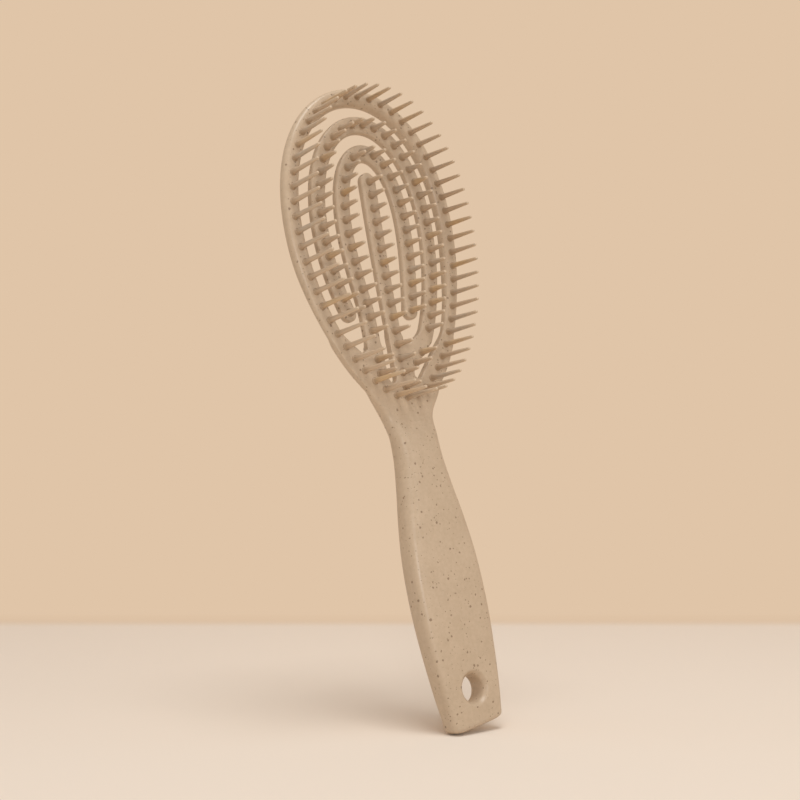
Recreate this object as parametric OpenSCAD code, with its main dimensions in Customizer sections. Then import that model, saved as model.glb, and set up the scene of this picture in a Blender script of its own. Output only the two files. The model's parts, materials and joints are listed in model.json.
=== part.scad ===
// A vented detangling brush in one moulding: a flat grip with a hang hole, and an egg-shaped head whose
// plate is cut by one labyrinth slot into a rim, two arch-shaped arms and a centre finger, all set with pins.
// +Z runs up the handle to the head, -Y is the side of the pins, and the origin is the hang hole's middle.

/* [Handle] */
// Width of the grip where it is widest
grip_w = 29.4; // [25:0.2:34]
// Width of the neck where it is narrowest
neck_w = 18.6; // [15:0.2:22]
// From the hang hole's axis down to the flat end
end_drop = 12.4; // [9:0.2:15]
// Slant of the flat end, lower on the left, as seen from the front
end_slant = 5.5; // [0:0.5:8]
// From the hang hole's axis up to the foot of the head
handle_rise = 104; // [90:1:118]
// Thickness of the handle at its end
end_t = 7.8; // [6.5:0.1:9]
// Thickness of the grip at its fullest
grip_t = 9.4; // [8:0.1:11]
// How far the grip's front and back swell in the middle
grip_crown = 0.4; // [0.2:0.1:1.2]
// Radius of the corners of the flat end, seen from the front
end_corner_r = 2.2; // [1.8:0.1:4.5]
// How far the middle of the handle leans back on its way up to the head
handle_lean = 2.4; // [1:0.2:4]

/* [Hang hole] */
// Radius of the hang hole
hole_r = 4.4; // [3:0.1:5]
// Bevel round each mouth of the hang hole
hole_bevel = 1.5; // [0.4:0.1:2]

/* [Head] */
// Length of the closed row of rim pins, from its lowest pin to its highest
rim_row_l = 111; // [98:1:124]
// Width across the row of rim pins, about its middle
rim_row_w = 67.6; // [58:0.5:76]
// From the foot of the head down to the lowest rim pin
rim_row_drop = 5.2; // [4:0.2:6.5]
// Width of the outer arm's row of pins, as a share of the rim row's
outer_row_share = 0.695; // [0.66:0.005:0.72]
// Width of the inner arm's row of pins, as a share of the rim row's
inner_row_share = 0.3505; // [0.33:0.0005:0.37]
// Width that the inner arm's root leg keeps, as a share of the rim row's
inner_waist_share = 0.29; // [0.27:0.005:0.31]
// Distance between the rows of pins at the crown
crown_pitch = 10.3; // [9.4:0.1:11.2]
// Thickness of the rim
rim_t = 4.4; // [3.2:0.1:5]
// Thickness of the arms, the finger and the foot of the head
arm_t = 2.8; // [2.4:0.1:3.2]
// Width of the rim
rim_w = 6.4; // [5.4:0.1:7.2]
// Width of the rim at its two ends, where it runs into the foot of the head
rim_end_w = 5.8; // [5:0.1:7.2]
// Width of the arms
arm_w = 6.3; // [5.2:0.1:7]
// Width of the centre finger at its root
finger_root_w = 6.2; // [5.2:0.1:7]
// Width of the centre finger near its tip
finger_tip_w = 7; // [5.6:0.1:7.6]
// Radius of the head's gentle bow towards the pins
bow_r = 980; // [700:10:2000]
// Radius of the rounded edges of the rim
rim_edge_r = 1.9; // [0.8:0.05:2]
// Radius of the rounded edges of the arms and the finger
edge_r = 1; // [0.5:0.05:1.2]
// Radius of the round ends of the labyrinth slot
slot_end_r = 1.75; // [1.3:0.05:2]
// Gap at each flexing root and crown
flex_gap = 0.3; // [0.2:0.05:0.5]

/* [Pins] */
// Length of a rim pin
rim_pin_l = 14.5; // [11:0.25:17]
// Radius of a rim pin above its foot
rim_pin_r = 0.95; // [0.6:0.05:1.1]
// Radius of a rim pin's tip
rim_tip_r = 0.55; // [0.35:0.05:0.7]
// Length of a pin on the arms and the finger
arm_pin_l = 8; // [6:0.25:10]
// Radius of an arm pin above its foot
arm_pin_r = 1.15; // [0.8:0.05:1.4]
// Radius of an arm pin's tip
arm_tip_r = 0.6; // [0.4:0.05:0.8]
// Height of the foot of every pin
foot_h = 0.7; // [0.4:0.1:1]
// How far the foot of a pin stands out round it
foot_flare = 0.35; // [0.15:0.05:0.5]
// Number of pins round the closed rim row
rim_pin_count = 54; // [44:2:60]
// How far the lowest rim pins are drawn in from the middle of the rim's band
rim_pin_inset = 1.5; // [0:0.1:2]
// Distance between pins along the outer arm
outer_pin_pitch = 5.1; // [4.6:0.1:6.5]
// Distance between pins along the inner arm
inner_pin_pitch = 5; // [4.6:0.1:6.5]
// Distance between pins along the finger
finger_pin_pitch = 4.95; // [4.6:0.05:6.5]
// Distance in front of the head at which the pins that lean sideways would meet
pin_focus = 430; // [300:10:900]
// Degrees by which the pins in the middle tip down towards the handle
pin_tip_down = 2.5; // [0:0.5:5]
// Length over which the pins' directions twist by one radian
pin_twist_l = 560; // [400:10:2000]

/* [Hidden] */
straw = [0.78, 0.69, 0.56];
straw_light = [0.82, 0.73, 0.60];
straw_deep = [0.74, 0.64, 0.50];
pin_tan = [0.76, 0.62, 0.44];
overrun = 1;
// How far the front face of the head lies behind the hang hole's middle
face_y = handle_lean - arm_t / 2;
// Heights of the head's main levels
foot_z = handle_rise;
rim_low_z = foot_z - rim_row_drop;
bow_z = foot_z + 3 * rim_row_drop;
rim_mid_z = rim_low_z + rim_row_l / 2;
rim_top_z = rim_low_z + rim_row_l;
outer_top_z = rim_top_z - crown_pitch;
// Each row of pins is an egg: half length, half width, height of its middle, how far it is fuller at the
// crown, and the half width that its root leg keeps
rim_fuller_share = 0.17;
inner_fuller_share = 0.566;
outer_low_share = 0.097;
outer_low_z = rim_low_z + outer_low_share * rim_row_l;
arm_half_l = (outer_top_z - outer_low_z) / 2;
inner_top_z = outer_top_z - crown_pitch;
rim_half_w = rim_row_w / 2;
RIM = [rim_row_l / 2, rim_half_w, rim_mid_z, rim_fuller_share, 0];
OUTER = [arm_half_l, rim_half_w * outer_row_share, outer_top_z - arm_half_l, rim_fuller_share, 0];
INNER = [arm_half_l, rim_half_w * inner_row_share, inner_top_z - arm_half_l, inner_fuller_share,
    rim_half_w * inner_waist_share];
// Where the bands are cut, as a share of their row's half turn from the crown, and the finger's levels
rim_cut_share = 0.712;
rim_thin_share = 0.3;
rim_inset_share = 0.33;
outer_root_share = 0.766;
outer_tip_share = 0.677;
inner_root_share = 0.702;
inner_tip_share = 0.591;
finger_root_share = 0.2045;
finger_top_z = inner_top_z - arm_w / 2 - (crown_pitch - arm_w);
finger_root_z = rim_low_z + finger_root_share * rim_row_l;

// Curves of the rows, by the turn t in degrees from the crown, positive to the right

half_turn = 180;
function soft_more(a, b, e) = (a + b + sqrt((a - b) * (a - b) + e * e)) / 2;

function egg_x(row, t) = row[1] * sin(t) * (1 + row[3] * cos(t));

function row_x(row, t) =
    row[4] == 0 || t < 90 ? egg_x(row, t) : soft_more(egg_x(row, t), row[4], row[1] / 12);

function row_point(row, t) = [row_x(row, t), row[2] + row[0] * cos(t)];

function row_tangent(row, t) =
    let (d = row_point(row, t + 0.5) - row_point(row, t - 0.5)) d / norm(d);

// The lengths along a row from the crown, one for each whole step of its turn
turn_step = 1.5;
function row_lengths(row, t = 0, sum = 0) =
    t > half_turn ? []
    : concat([sum], row_lengths(row, t + turn_step,
        sum + norm(row_point(row, t + turn_step) - row_point(row, t))));

// The turn at a given length along a row, and the length at a turn
function turn_at(lengths, s) =
    sign(s) * turn_step * lookup(abs(s), [for (i = [0:len(lengths) - 1]) [lengths[i], i]]);
function length_at(lengths, t) =
    sign(t) * lookup(abs(t) / turn_step, [for (i = [0:len(lengths) - 1]) [i, lengths[i]]]);

// The depth of the head's front face at a height: it bows towards the pins above the arms' roots
function face_at(z) = face_y - pow(max(z - bow_z, 0), 2) / (2 * bow_r);

// Bands with rounded edges, swept along a row

corner_steps = 3;
function corner(cu, cv, r, from) =
    [for (i = [0:corner_steps]) let (a = from + 90 * i / corner_steps) [cu + r * cos(a), cv + r * sin(a)]];

// A rounded section: u runs across the band, v from its front face to its back
function band_section(w, t, r) =
    let (q = min(r, t / 2.01, w / 2.01), u = w / 2 - q)
    concat(corner(u, t - q, q, 0), corner(-u, t - q, q, 90), corner(-u, q, q, 180), corner(u, q, q, 270));

// One ring of points at a place p with the direction d along the band
function band_ring(p, d, w, t, r) =
    let (n = [-d[1], d[0]])
    [for (c = band_section(w, t, r)) let (z = p[1] + n[1] * c[0]) [p[0] + n[0] * c[0], face_at(z) + c[1], z]];

// Closed skin over a list of rings with the same number of points
module skin(rings) {
    n = len(rings[0]);
    m = len(rings);
    sides = [for (i = [0:m - 2], j = [0:n - 1], k = [0, 1])
        let (a = i * n + j, b = i * n + (j + 1) % n)
        k == 0 ? [a, b, b + n] : [a, b + n, a + n]];
    first = [for (j = [1:n - 2]) [0, j + 1, j]];
    last = [for (j = [1:n - 2]) [(m - 1) * n, (m - 1) * n + j, (m - 1) * n + j + 1]];
    polyhedron(points = [for (ring = rings) each ring], faces = concat(sides, first, last));
}

// Rings that close a band in a half round, past the place p along d
tip_turns = [22, 42, 60, 75, 86];
function tip_rings(p, d, w, t, r) =
    [for (a = tip_turns) band_ring(p + d * (w / 2 * sin(a)), d, w * cos(a), t, r)];

// Rings along a row between two lengths, at about even steps
function row_rings(row, lengths, s0, s1, step, w, t, r) =
    let (n = ceil(abs(s1 - s0) / step), way = sign(s1 - s0))
    [for (i = [0:n]) let (a = turn_at(lengths, s0 + (s1 - s0) * i / n))
        band_ring(row_point(row, a), row_tangent(row, a) * way, w, t, r)];

RIM_LENGTHS = row_lengths(RIM);
OUTER_LENGTHS = row_lengths(OUTER);
INNER_LENGTHS = row_lengths(INNER);
band_step = 4.2;
rim_cut_s = length_at(RIM_LENGTHS, half_turn * rim_cut_share);
outer_root_s = length_at(OUTER_LENGTHS, half_turn * outer_root_share);
outer_tip_s = length_at(OUTER_LENGTHS, half_turn * outer_tip_share);
inner_root_s = length_at(INNER_LENGTHS, half_turn * inner_root_share);
inner_tip_s = length_at(INNER_LENGTHS, half_turn * inner_tip_share);
// Each arm's crown gap lies half way between two of its pins
function crown_gap(pitch, tip_s) = (floor(tip_s / pitch) + 0.5) * pitch - tip_s;
outer_crown_s = crown_gap(outer_pin_pitch, outer_tip_s);
inner_crown_s = crown_gap(inner_pin_pitch, inner_tip_s);

// The leg of an arm from its flexing root to the crown, on the side where s is positive
module root_leg(row, lengths, root_s, crown_s) {
    skin(row_rings(row, lengths, crown_s + flex_gap / 2, root_s - flex_gap, band_step, arm_w, arm_t, edge_r));
}

// The leg of an arm from the crown to its free round tip, on the side where s is negative
module free_leg(row, lengths, tip_s, crown_s) {
    body = row_rings(row, lengths, crown_s - flex_gap / 2, -tip_s, band_step, arm_w, arm_t, edge_r);
    tip_t = turn_at(lengths, -tip_s);
    tip = tip_rings(row_point(row, tip_t), -row_tangent(row, tip_t), arm_w, arm_t, edge_r);
    skin(concat(body, tip));
}

// Pins

tip_steps = 3;
// A pin's half outline: flared foot, tapering shaft and domed tip
module pin(l, r, tip_r) {
    dome = [for (i = [0:tip_steps]) let (a = 90 * i / tip_steps)
        [tip_r * cos(a), l - tip_r + tip_r * sin(a)]];
    rotate_extrude($fn = 24)
        polygon(concat([[0, 0], [r + foot_flare, 0], [r + foot_flare / 4, foot_h / 2], [r, foot_h]], dome));
}

// A pin that stands on the head's face at the place p, leans a little towards the middle and tips down.
// In a row that is drawn mirrored the side is -1.
module pin_at(p, l, r, tip_r, side = 1) {
    bow = atan(max(p[1] - bow_z, 0) / bow_r);
    tip_down = pin_tip_down + atan(side * p[0] / pin_twist_l);
    lean = atan(p[0] / pin_focus + side * (p[1] - rim_mid_z) / pin_twist_l);
    seat = (r + foot_flare) * sqrt(pow(sin(lean), 2) + pow(sin(tip_down), 2));
    translate([p[0], face_at(p[1]) - seat, p[1]])
        rotate([90 + bow + tip_down, 0, -lean])
            pin(l, r, tip_r);
}

module row_pins(row, lengths, places, side = 1) {
    for (s = places) pin_at(row_point(row, turn_at(lengths, s)), arm_pin_l, arm_pin_r, arm_tip_r, side);
}

rim_half = RIM_LENGTHS[len(RIM_LENGTHS) - 1];
rim_pitch = 2 * rim_half / rim_pin_count;
// The rim's pins are shared out between the crown, the two sides and the foot of the head
crown_share = 0.16;
function rim_places(from, to) =
    [for (i = [1 - rim_pin_count / 2:rim_pin_count / 2]) let (s = i * rim_pitch) if (s > from && s <= to) s];

// Towards the foot of the head the rim's pins are drawn in from the middle of its band
function rim_pin_place(s) =
    let (t = turn_at(RIM_LENGTHS, s), p = row_point(RIM, t), d = row_tangent(RIM, t),
        k = min(max(1 - (p[1] - rim_low_z) / (rim_inset_share * rim_row_l), 0), 1))
    p - rim_pin_inset * k * k * (3 - 2 * k) * [-d[1], d[0]];

module rim_pin_group(from, to) {
    for (s = rim_places(from, to)) pin_at(rim_pin_place(s), rim_pin_l, rim_pin_r, rim_tip_r);
}

// The places of an arm's pins run from the last one at its free tip to the first past its root
root_overhang_share = 0.116;
function arm_places(pitch, tip_s, past) =
    [for (i = [0:ceil((tip_s + past) / pitch) - 1]) i * pitch - tip_s];
outer_last_s = outer_root_s + root_overhang_share * rim_row_l;
inner_last_s = inner_root_s + root_overhang_share * rim_row_l;
outer_places = arm_places(outer_pin_pitch, outer_tip_s, outer_last_s);
inner_places = arm_places(inner_pin_pitch, inner_tip_s, inner_last_s);
// No pin stands on a flexing gap
clear_of_gap = arm_pin_r + foot_flare + flex_gap;
function between(places, a, b) = [for (s = places) if (s > a && s < b) s];

module arm_pin(p) {
    pin_at(p, arm_pin_l, arm_pin_r, arm_tip_r);
}

// Finger and base

finger_pin_top_z = finger_top_z - finger_tip_w / 2;
finger_count = floor((finger_pin_top_z - foot_z) / finger_pin_pitch) + 1;
finger_places = [for (i = [0:finger_count - 1]) finger_pin_top_z - i * finger_pin_pitch];
finger_steps = 16;

module finger_body() {
    z0 = finger_root_z + flex_gap;
    z1 = finger_top_z - finger_tip_w / 2;
    body = [for (i = [0:finger_steps])
        let (k = i / finger_steps, w = finger_root_w * (1 - k) + finger_tip_w * k)
        band_ring([0, z0 * (1 - k) + z1 * k], [0, 1], w, arm_t, edge_r)];
    skin(concat(body, tip_rings([0, z1], [0, 1], finger_tip_w, arm_t, edge_r)));
}

// The corner of a band's cut face, outward (side 1) or inward (side -1) of its row
function cut_corner(row, lengths, s, w, side) =
    let (t = turn_at(lengths, s), d = row_tangent(row, t), n = [-d[1], d[0]])
    row_point(row, t) + side * w / 2 * n;

// The foot's outer edge: the rim's own edge, drawn in a little on its way down from s1 to s0
rim_edge_steps = 6;
foot_draw_share = 0.07;
function foot_edge_w(k) = rim_end_w * (1 - foot_draw_share * (1 - k) * (1 - k));
function rim_edge(s0, s1) = [for (i = [0:rim_edge_steps])
    cut_corner(RIM, RIM_LENGTHS, s0 + (s1 - s0) * i / rim_edge_steps, foot_edge_w(i / rim_edge_steps), 1)];

// The lower end of a slot: it runs from the two corners a and b to a round end at c
module slot_root(a, b, c, r) {
    d = (a + b) / 2 - c;
    n = [-d[1], d[0]] / norm(d);
    side = n * (a - b) > 0 ? 1 : -1;
    polygon([a, c + side * r * n, c - side * r * n, b]);
    polygon([a, b, b + d * 0.2, a + d * 0.2]);
    translate(c) circle(r, $fn = 32);
}

// Length along the rim at which its outer edge meets the foot of the head
function rim_foot_s(s = 0) =
    cut_corner(RIM, RIM_LENGTHS, s, foot_edge_w(0), 1)[1] <= foot_z ? s : rim_foot_s(s + rim_pitch / 16);
rim_foot = rim_foot_s(rim_cut_s);
base_half_w = cut_corner(RIM, RIM_LENGTHS, rim_foot, foot_edge_w(0), 1)[0];

// Places of the slots' round lower ends, as shares of the head's widths and length, to the right and up
right_slot_end_share = [0.1, 0.0865];
finger_right_end_share = [0.075, 0.2];
finger_left_end_share = [-0.0705, 0.0745];
left_slot_end_share = [-0.228, 0.1735];
function head_place(share) = [share[0] * rim_row_w, rim_low_z + share[1] * rim_row_l];

module head_base_outline() {
    rim_in_r = cut_corner(RIM, RIM_LENGTHS, rim_cut_s, rim_end_w, -1);
    rim_in_l = [-rim_in_r[0], rim_in_r[1]];
    outer_out = cut_corner(OUTER, OUTER_LENGTHS, outer_root_s, arm_w, 1);
    outer_in = cut_corner(OUTER, OUTER_LENGTHS, outer_root_s, arm_w, -1);
    inner_right = cut_corner(INNER, INNER_LENGTHS, -inner_root_s, arm_w, -1);
    inner_left = cut_corner(INNER, INNER_LENGTHS, -inner_root_s, arm_w, 1);
    finger_r = [finger_root_w / 2, finger_root_z];
    finger_l = [-finger_root_w / 2, finger_root_z];
    edge = rim_edge(rim_foot, rim_cut_s);
    difference() {
        polygon(concat(
            [[base_half_w, foot_z]],
            [for (i = [1:rim_edge_steps]) edge[i]],
            [rim_in_r, outer_out, outer_in, finger_r, finger_l, inner_right, inner_left, rim_in_l],
            [for (i = [rim_edge_steps:-1:1]) [-edge[i][0], edge[i][1]]],
            [[-base_half_w, foot_z]]));
        slot_root(rim_in_r, outer_out, head_place(right_slot_end_share), slot_end_r);
        slot_root(outer_in, finger_r, head_place(finger_right_end_share), slot_end_r);
        slot_root(finger_l, inner_right, head_place(finger_left_end_share), slot_end_r);
        slot_root(inner_left, rim_in_l, head_place(left_slot_end_share), slot_end_r);
    }
}

// Handle

// Share of the way from the neck's half width to the grip's, at even steps from the end to the head
grip_shares = [0.30, 0.56, 0.81, 0.965, 1, 0.91, 0.645, 0.285, 0.02, 0.17, 1.05];
// Share of the way from the end's thickness to the grip's, at the same steps
thick_shares = [-0.7, 0.12, 0.35, 0.65, 0.9, 1, 1, 0.93, 0.55, -1.25, -3.1];
// Radius of the long edges as a share of half the thickness, at the same steps
round_shares = [0.55, 0.56, 0.6, 0.62, 0.66, 0.72, 0.8, 0.9, 0.94, 0.85, 0.55];

// A smooth curve through a table's even steps, for x from 0 to 1
function smooth(table, x) =
    let (n = len(table) - 1, q = min(max(x, 0), 1) * n, i = min(floor(q), n - 1), f = q - i,
        a = table[max(i - 1, 0)], b = table[i], c = table[i + 1], d = table[min(i + 2, n)])
    b + f / 2 * ((c - a) + f * ((2 * a - 5 * b + 4 * c - d) + f * (3 * (b - c) + d - a)));

function handle_share(z) = (z + end_drop) / (handle_rise + end_drop);

// Near the head the handle runs into the plate's own width and thickness
join_share = 0.1;
function to_plate(z, own, plate) =
    let (k = min(max((handle_share(z) - 1 + join_share) / join_share, 0), 1), e = k * k * k)
    own + (plate - own) * e;
function handle_half_w(z) =
    to_plate(z, neck_w / 2 + (grip_w - neck_w) / 2 * smooth(grip_shares, handle_share(z)), base_half_w);
function handle_t(z) = to_plate(z, end_t + (grip_t - end_t) * smooth(thick_shares, handle_share(z)), arm_t);

// The head's flat face runs down over the top of the handle, under the lowest pins, and then swells forward
face_end_z = rim_low_z - 1.2 * (rim_pin_r + foot_flare);
swell_share = 0.11;
function on_face(z) =
    let (k = min(max((z - face_end_z) / (swell_share * handle_rise) + 1, 0), 1)) k * k * (3 - 2 * k);
function handle_mid_y(z) =
    let (k = on_face(z)) handle_lean * z / handle_rise * (1 - k) + (face_y + handle_t(z) / 2) * k;

face_steps = 4;
side_steps = 5;
function round_corner(cx, cy, r, from) =
    [for (i = [0:side_steps]) let (a = from + 90 * i / side_steps) [cx + r * cos(a), cy + r * sin(a)]];

// One ring of the handle at the height z, drawn in by the amount d on all sides
function handle_ring(z, d, dw) =
    let (w = handle_half_w(z) - d - dw, h = handle_t(z) / 2 - d,
        r = min(h * smooth(round_shares, handle_share(z)), w / 2), m = handle_mid_y(z),
        crown = grip_crown * (1 - on_face(z)),
        slant = tan(end_slant) * max(1 - (z + end_drop) / (3 * end_corner_r), 0),
        flat = [for (i = [1:face_steps - 1]) (1 - 2 * i / face_steps) * (w - r)],
        outline = concat(
            round_corner(w - r, h - r, r, 0), [for (x = flat) [x, h]],
            round_corner(r - w, h - r, r, 90), round_corner(r - w, r - h, r, 180),
            [for (x = flat) [-x, -h]], round_corner(w - r, r - h, r, 270)))
    [for (p = outline)
        [p[0], m + p[1] * (1 + crown / h * (1 - pow(p[0] / w, 2)) * pow(p[1] / h, 2)), z + slant * p[0]]];

handle_steps = 30;
face_rings = 3;
end_round_r = 1.6;
// Rings that round the flat end: how far up from the end, and how far drawn in
end_turns = [0, 25, 50, 72, 90];
function end_draw(z) =
    let (u = z + end_drop) u >= end_corner_r ? 0 : end_corner_r - sqrt(u * (2 * end_corner_r - u));

module handle() {
    first = [for (a = end_turns) let (z = end_round_r * (1 - cos(a)) - end_drop)
        handle_ring(z, end_round_r * (1 - sin(a)), end_draw(z))];
    z0 = end_round_r - end_drop;
    corner_top = end_corner_r - end_drop;
    rest = concat(
        [for (i = [1:handle_steps]) corner_top + (face_end_z - corner_top) * i / handle_steps],
        [for (i = [1:face_rings]) face_end_z + (handle_rise - face_end_z) * i / face_rings]);
    hole_h = grip_t + 2 * grip_crown;
    mouth = end_t / 2 + (grip_t - end_t) / 2 * smooth(thick_shares, handle_share(0)) + grip_crown;
    color(straw) difference() {
        skin(concat(first, [for (z = [(z0 + corner_top) / 2, corner_top]) handle_ring(z, 0, end_draw(z))],
            [for (z = rest) handle_ring(z, 0, 0)]));
        rotate([90, 0, 0]) cylinder(h = 2 * hole_h, r = hole_r, center = true, $fn = 64);
        for (side = [-1, 1])
            translate([0, side * (mouth - hole_bevel), 0])
                rotate([-90 * side, 0, 0])
                    cylinder(h = hole_bevel * (1 + overrun), $fn = 64,
                        r1 = hole_r, r2 = hole_r + hole_bevel * (1 + overrun));
    }
}

module head_base() {
    color(straw) translate([0, face_y + arm_t, 0]) rotate([90, 0, 0])
        linear_extrude(arm_t) head_base_outline();
}

// The rim is fullest above and thins to the foot's own thickness, flush in front, before its two ends
function rim_full(s) =
    let (k = min(max((rim_cut_s - abs(s)) / (rim_thin_share * rim_cut_s), 0), 1)) k * k * (3 - 2 * k);

module outer_rim() {
    n = ceil(2 * rim_cut_s / (band_step * 1.15));
    color(straw) skin([for (i = [0:n]) let (s = rim_cut_s * (2 * i / n - 1), a = turn_at(RIM_LENGTHS, s))
        band_ring(row_point(RIM, a), row_tangent(RIM, a), rim_end_w + (rim_w - rim_end_w) * rim_full(s),
            arm_t + (rim_t - arm_t) * rim_full(s), rim_edge_r)]);
}

module rim_pins_crown() {
    color(pin_tan) rim_pin_group(-crown_share * rim_half, crown_share * rim_half);
}

module rim_pins_right() {
    color(pin_tan) rim_pin_group(crown_share * rim_half, rim_cut_s - rim_pin_r);
}

module rim_pins_left() {
    color(pin_tan) rim_pin_group(rim_pin_r - rim_cut_s, -crown_share * rim_half);
}

module base_pins() {
    color(pin_tan) {
        rim_pin_group(rim_cut_s - rim_pin_r, rim_half);
        rim_pin_group(-rim_half, rim_pin_r - rim_cut_s);
        row_pins(OUTER, OUTER_LENGTHS, between(outer_places, outer_root_s + clear_of_gap, outer_last_s));
        mirror([1, 0, 0]) row_pins(INNER, INNER_LENGTHS,
            between(inner_places, inner_root_s + clear_of_gap, inner_last_s), side = -1);
        for (z = finger_places) if (z < finger_root_z - clear_of_gap) arm_pin([0, z]);
    }
}

module outer_arm_root_leg() {
    color(straw_light) root_leg(OUTER, OUTER_LENGTHS, outer_root_s, outer_crown_s);
}

module outer_arm_free_leg() {
    color(straw_deep) free_leg(OUTER, OUTER_LENGTHS, outer_tip_s, outer_crown_s);
}

module outer_pins_root_leg() {
    color(pin_tan) row_pins(OUTER, OUTER_LENGTHS,
        between(outer_places, outer_crown_s, outer_root_s - clear_of_gap));
}

module outer_pins_free_leg() {
    color(pin_tan) row_pins(OUTER, OUTER_LENGTHS, between(outer_places, -2 * outer_tip_s, outer_crown_s));
}

// The inner arm is the outer one's mirror image in plan: its root is on the left
module inner_arm_root_leg() {
    color(straw_light) mirror([1, 0, 0]) root_leg(INNER, INNER_LENGTHS, inner_root_s, inner_crown_s);
}

module inner_arm_free_leg() {
    color(straw_deep) mirror([1, 0, 0]) free_leg(INNER, INNER_LENGTHS, inner_tip_s, inner_crown_s);
}

module inner_pins_root_leg() {
    color(pin_tan) mirror([1, 0, 0]) row_pins(INNER, INNER_LENGTHS,
        between(inner_places, inner_crown_s, inner_root_s - clear_of_gap), side = -1);
}

module inner_pins_free_leg() {
    color(pin_tan) mirror([1, 0, 0]) row_pins(INNER, INNER_LENGTHS,
        between(inner_places, -2 * inner_tip_s, inner_crown_s), side = -1);
}

module centre_finger() {
    color(straw_light) finger_body();
}

module finger_pins() {
    color(pin_tan) for (z = finger_places) if (z > finger_root_z + clear_of_gap) arm_pin([0, z]);
}

handle();
head_base();
outer_rim();
rim_pins_crown();
rim_pins_right();
rim_pins_left();
base_pins();
outer_arm_root_leg();
outer_arm_free_leg();
outer_pins_root_leg();
outer_pins_free_leg();
inner_arm_root_leg();
inner_arm_free_leg();
inner_pins_root_leg();
inner_pins_free_leg();
centre_finger();
finger_pins();
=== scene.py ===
"""A vented detangling brush in matte wheat-straw plastic, dressed for a studio picture.

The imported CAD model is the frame. The brush is one moulding, so its plate, arms, finger and grip are built
here as solids in millimetres, fused into one smooth skin and cut again where the labyrinth's strips flex. The
pins are turned one by one and stand where the CAD has them.
"""

import json
import logging
import math
from collections.abc import Callable, Iterable, Sequence
from dataclasses import dataclass, field
from enum import Enum
from functools import cached_property
from typing import ClassVar

import bmesh
import bpy
import numpy as np
from mathutils import Matrix, Vector
from mathutils.kdtree import KDTree

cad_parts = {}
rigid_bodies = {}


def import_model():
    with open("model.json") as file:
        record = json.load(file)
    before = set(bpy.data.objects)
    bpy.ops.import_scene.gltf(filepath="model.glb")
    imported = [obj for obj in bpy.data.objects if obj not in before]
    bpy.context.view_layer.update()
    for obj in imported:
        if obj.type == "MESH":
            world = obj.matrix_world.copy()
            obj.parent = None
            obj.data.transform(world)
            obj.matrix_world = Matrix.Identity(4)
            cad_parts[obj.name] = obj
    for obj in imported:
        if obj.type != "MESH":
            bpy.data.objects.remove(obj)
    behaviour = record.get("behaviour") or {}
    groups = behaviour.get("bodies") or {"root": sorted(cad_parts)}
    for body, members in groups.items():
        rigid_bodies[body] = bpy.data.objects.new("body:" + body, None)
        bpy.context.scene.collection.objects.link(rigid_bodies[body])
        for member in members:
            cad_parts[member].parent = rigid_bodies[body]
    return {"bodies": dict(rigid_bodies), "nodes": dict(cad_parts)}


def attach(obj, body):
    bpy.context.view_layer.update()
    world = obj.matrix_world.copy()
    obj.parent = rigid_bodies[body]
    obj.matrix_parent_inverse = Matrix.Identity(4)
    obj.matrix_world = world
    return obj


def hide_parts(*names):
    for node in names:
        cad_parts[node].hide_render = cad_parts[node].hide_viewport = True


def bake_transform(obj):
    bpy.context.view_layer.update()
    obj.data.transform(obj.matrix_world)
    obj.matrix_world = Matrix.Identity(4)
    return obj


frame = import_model()

logger = logging.getLogger("brush")

MM = 0.001
RANDOM_SEED = 7
PLASTIC_IOR = 1.47
GRAIN_WAVES = 2600.0
GRAIN_DEPTH = 0.00003
NOISE_DETAIL = 2.0

Ring = list[tuple[float, float, float]]
Colour = tuple[float, float, float]


class Side(Enum):
    """The side of the brush, as seen from the pins, on which an arm is rooted."""

    RIGHT = 1
    LEFT = -1


class Zone(Enum):
    """The part of the fused moulding that a face belongs to."""

    FRAME = "frame"
    OUTER_ROOT = "outer_root"
    OUTER_FREE = "outer_free"
    INNER_ROOT = "inner_root"
    INNER_FREE = "inner_free"
    FINGER = "finger"


class Slot(Enum):
    """The record's material slots."""

    STRAW = "straw_plastic"
    PIN = "pin_plastic"


# Mesh helpers


@dataclass
class Shell:
    """Vertices and faces of a mesh in millimetres, gathered piece by piece."""

    points: list[tuple[float, float, float]] = field(default_factory=list)
    faces: list[tuple[int, ...]] = field(default_factory=list)

    def add(self, points: Iterable[Sequence[float]], faces: Iterable[Sequence[int]]) -> None:
        """Adds points and the faces between them.

        Args:
            points: The new points.
            faces: Faces as indices into the new points.
        """
        base = len(self.points)
        self.points.extend(tuple(p) for p in points)
        self.faces.extend(tuple(base + i for i in face) for face in faces)

    def add_rings(self, rings: Sequence[Ring]) -> None:
        """Adds a closed skin over rings that all have the same number of points.

        Args:
            rings: The rings, from one end to the other.
        """
        n = len(rings[0])
        faces: list[Sequence[int]] = [tuple(reversed(range(n)))]
        for i in range(len(rings) - 1):
            for j in range(n):
                k = (j + 1) % n
                faces.append((i * n + j, i * n + k, (i + 1) * n + k, (i + 1) * n + j))
        last = (len(rings) - 1) * n
        faces.append(tuple(range(last, last + n)))
        self.add([p for ring in rings for p in ring], faces)

    def add_mesh(self, mesh: bpy.types.Mesh) -> None:
        """Adds a copy of a Blender mesh.

        Args:
            mesh: A mesh in millimetres.
        """
        self.add([tuple(v.co) for v in mesh.vertices], [tuple(p.vertices) for p in mesh.polygons])

    def mesh(self, name: str) -> bpy.types.Mesh:
        """Makes a Blender mesh of the shell.

        Args:
            name: Name of the mesh.

        Returns:
            The mesh, still in millimetres.
        """
        made = bpy.data.meshes.new(name)
        made.from_pydata(self.points, [], self.faces)
        made.update()
        return made


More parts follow.
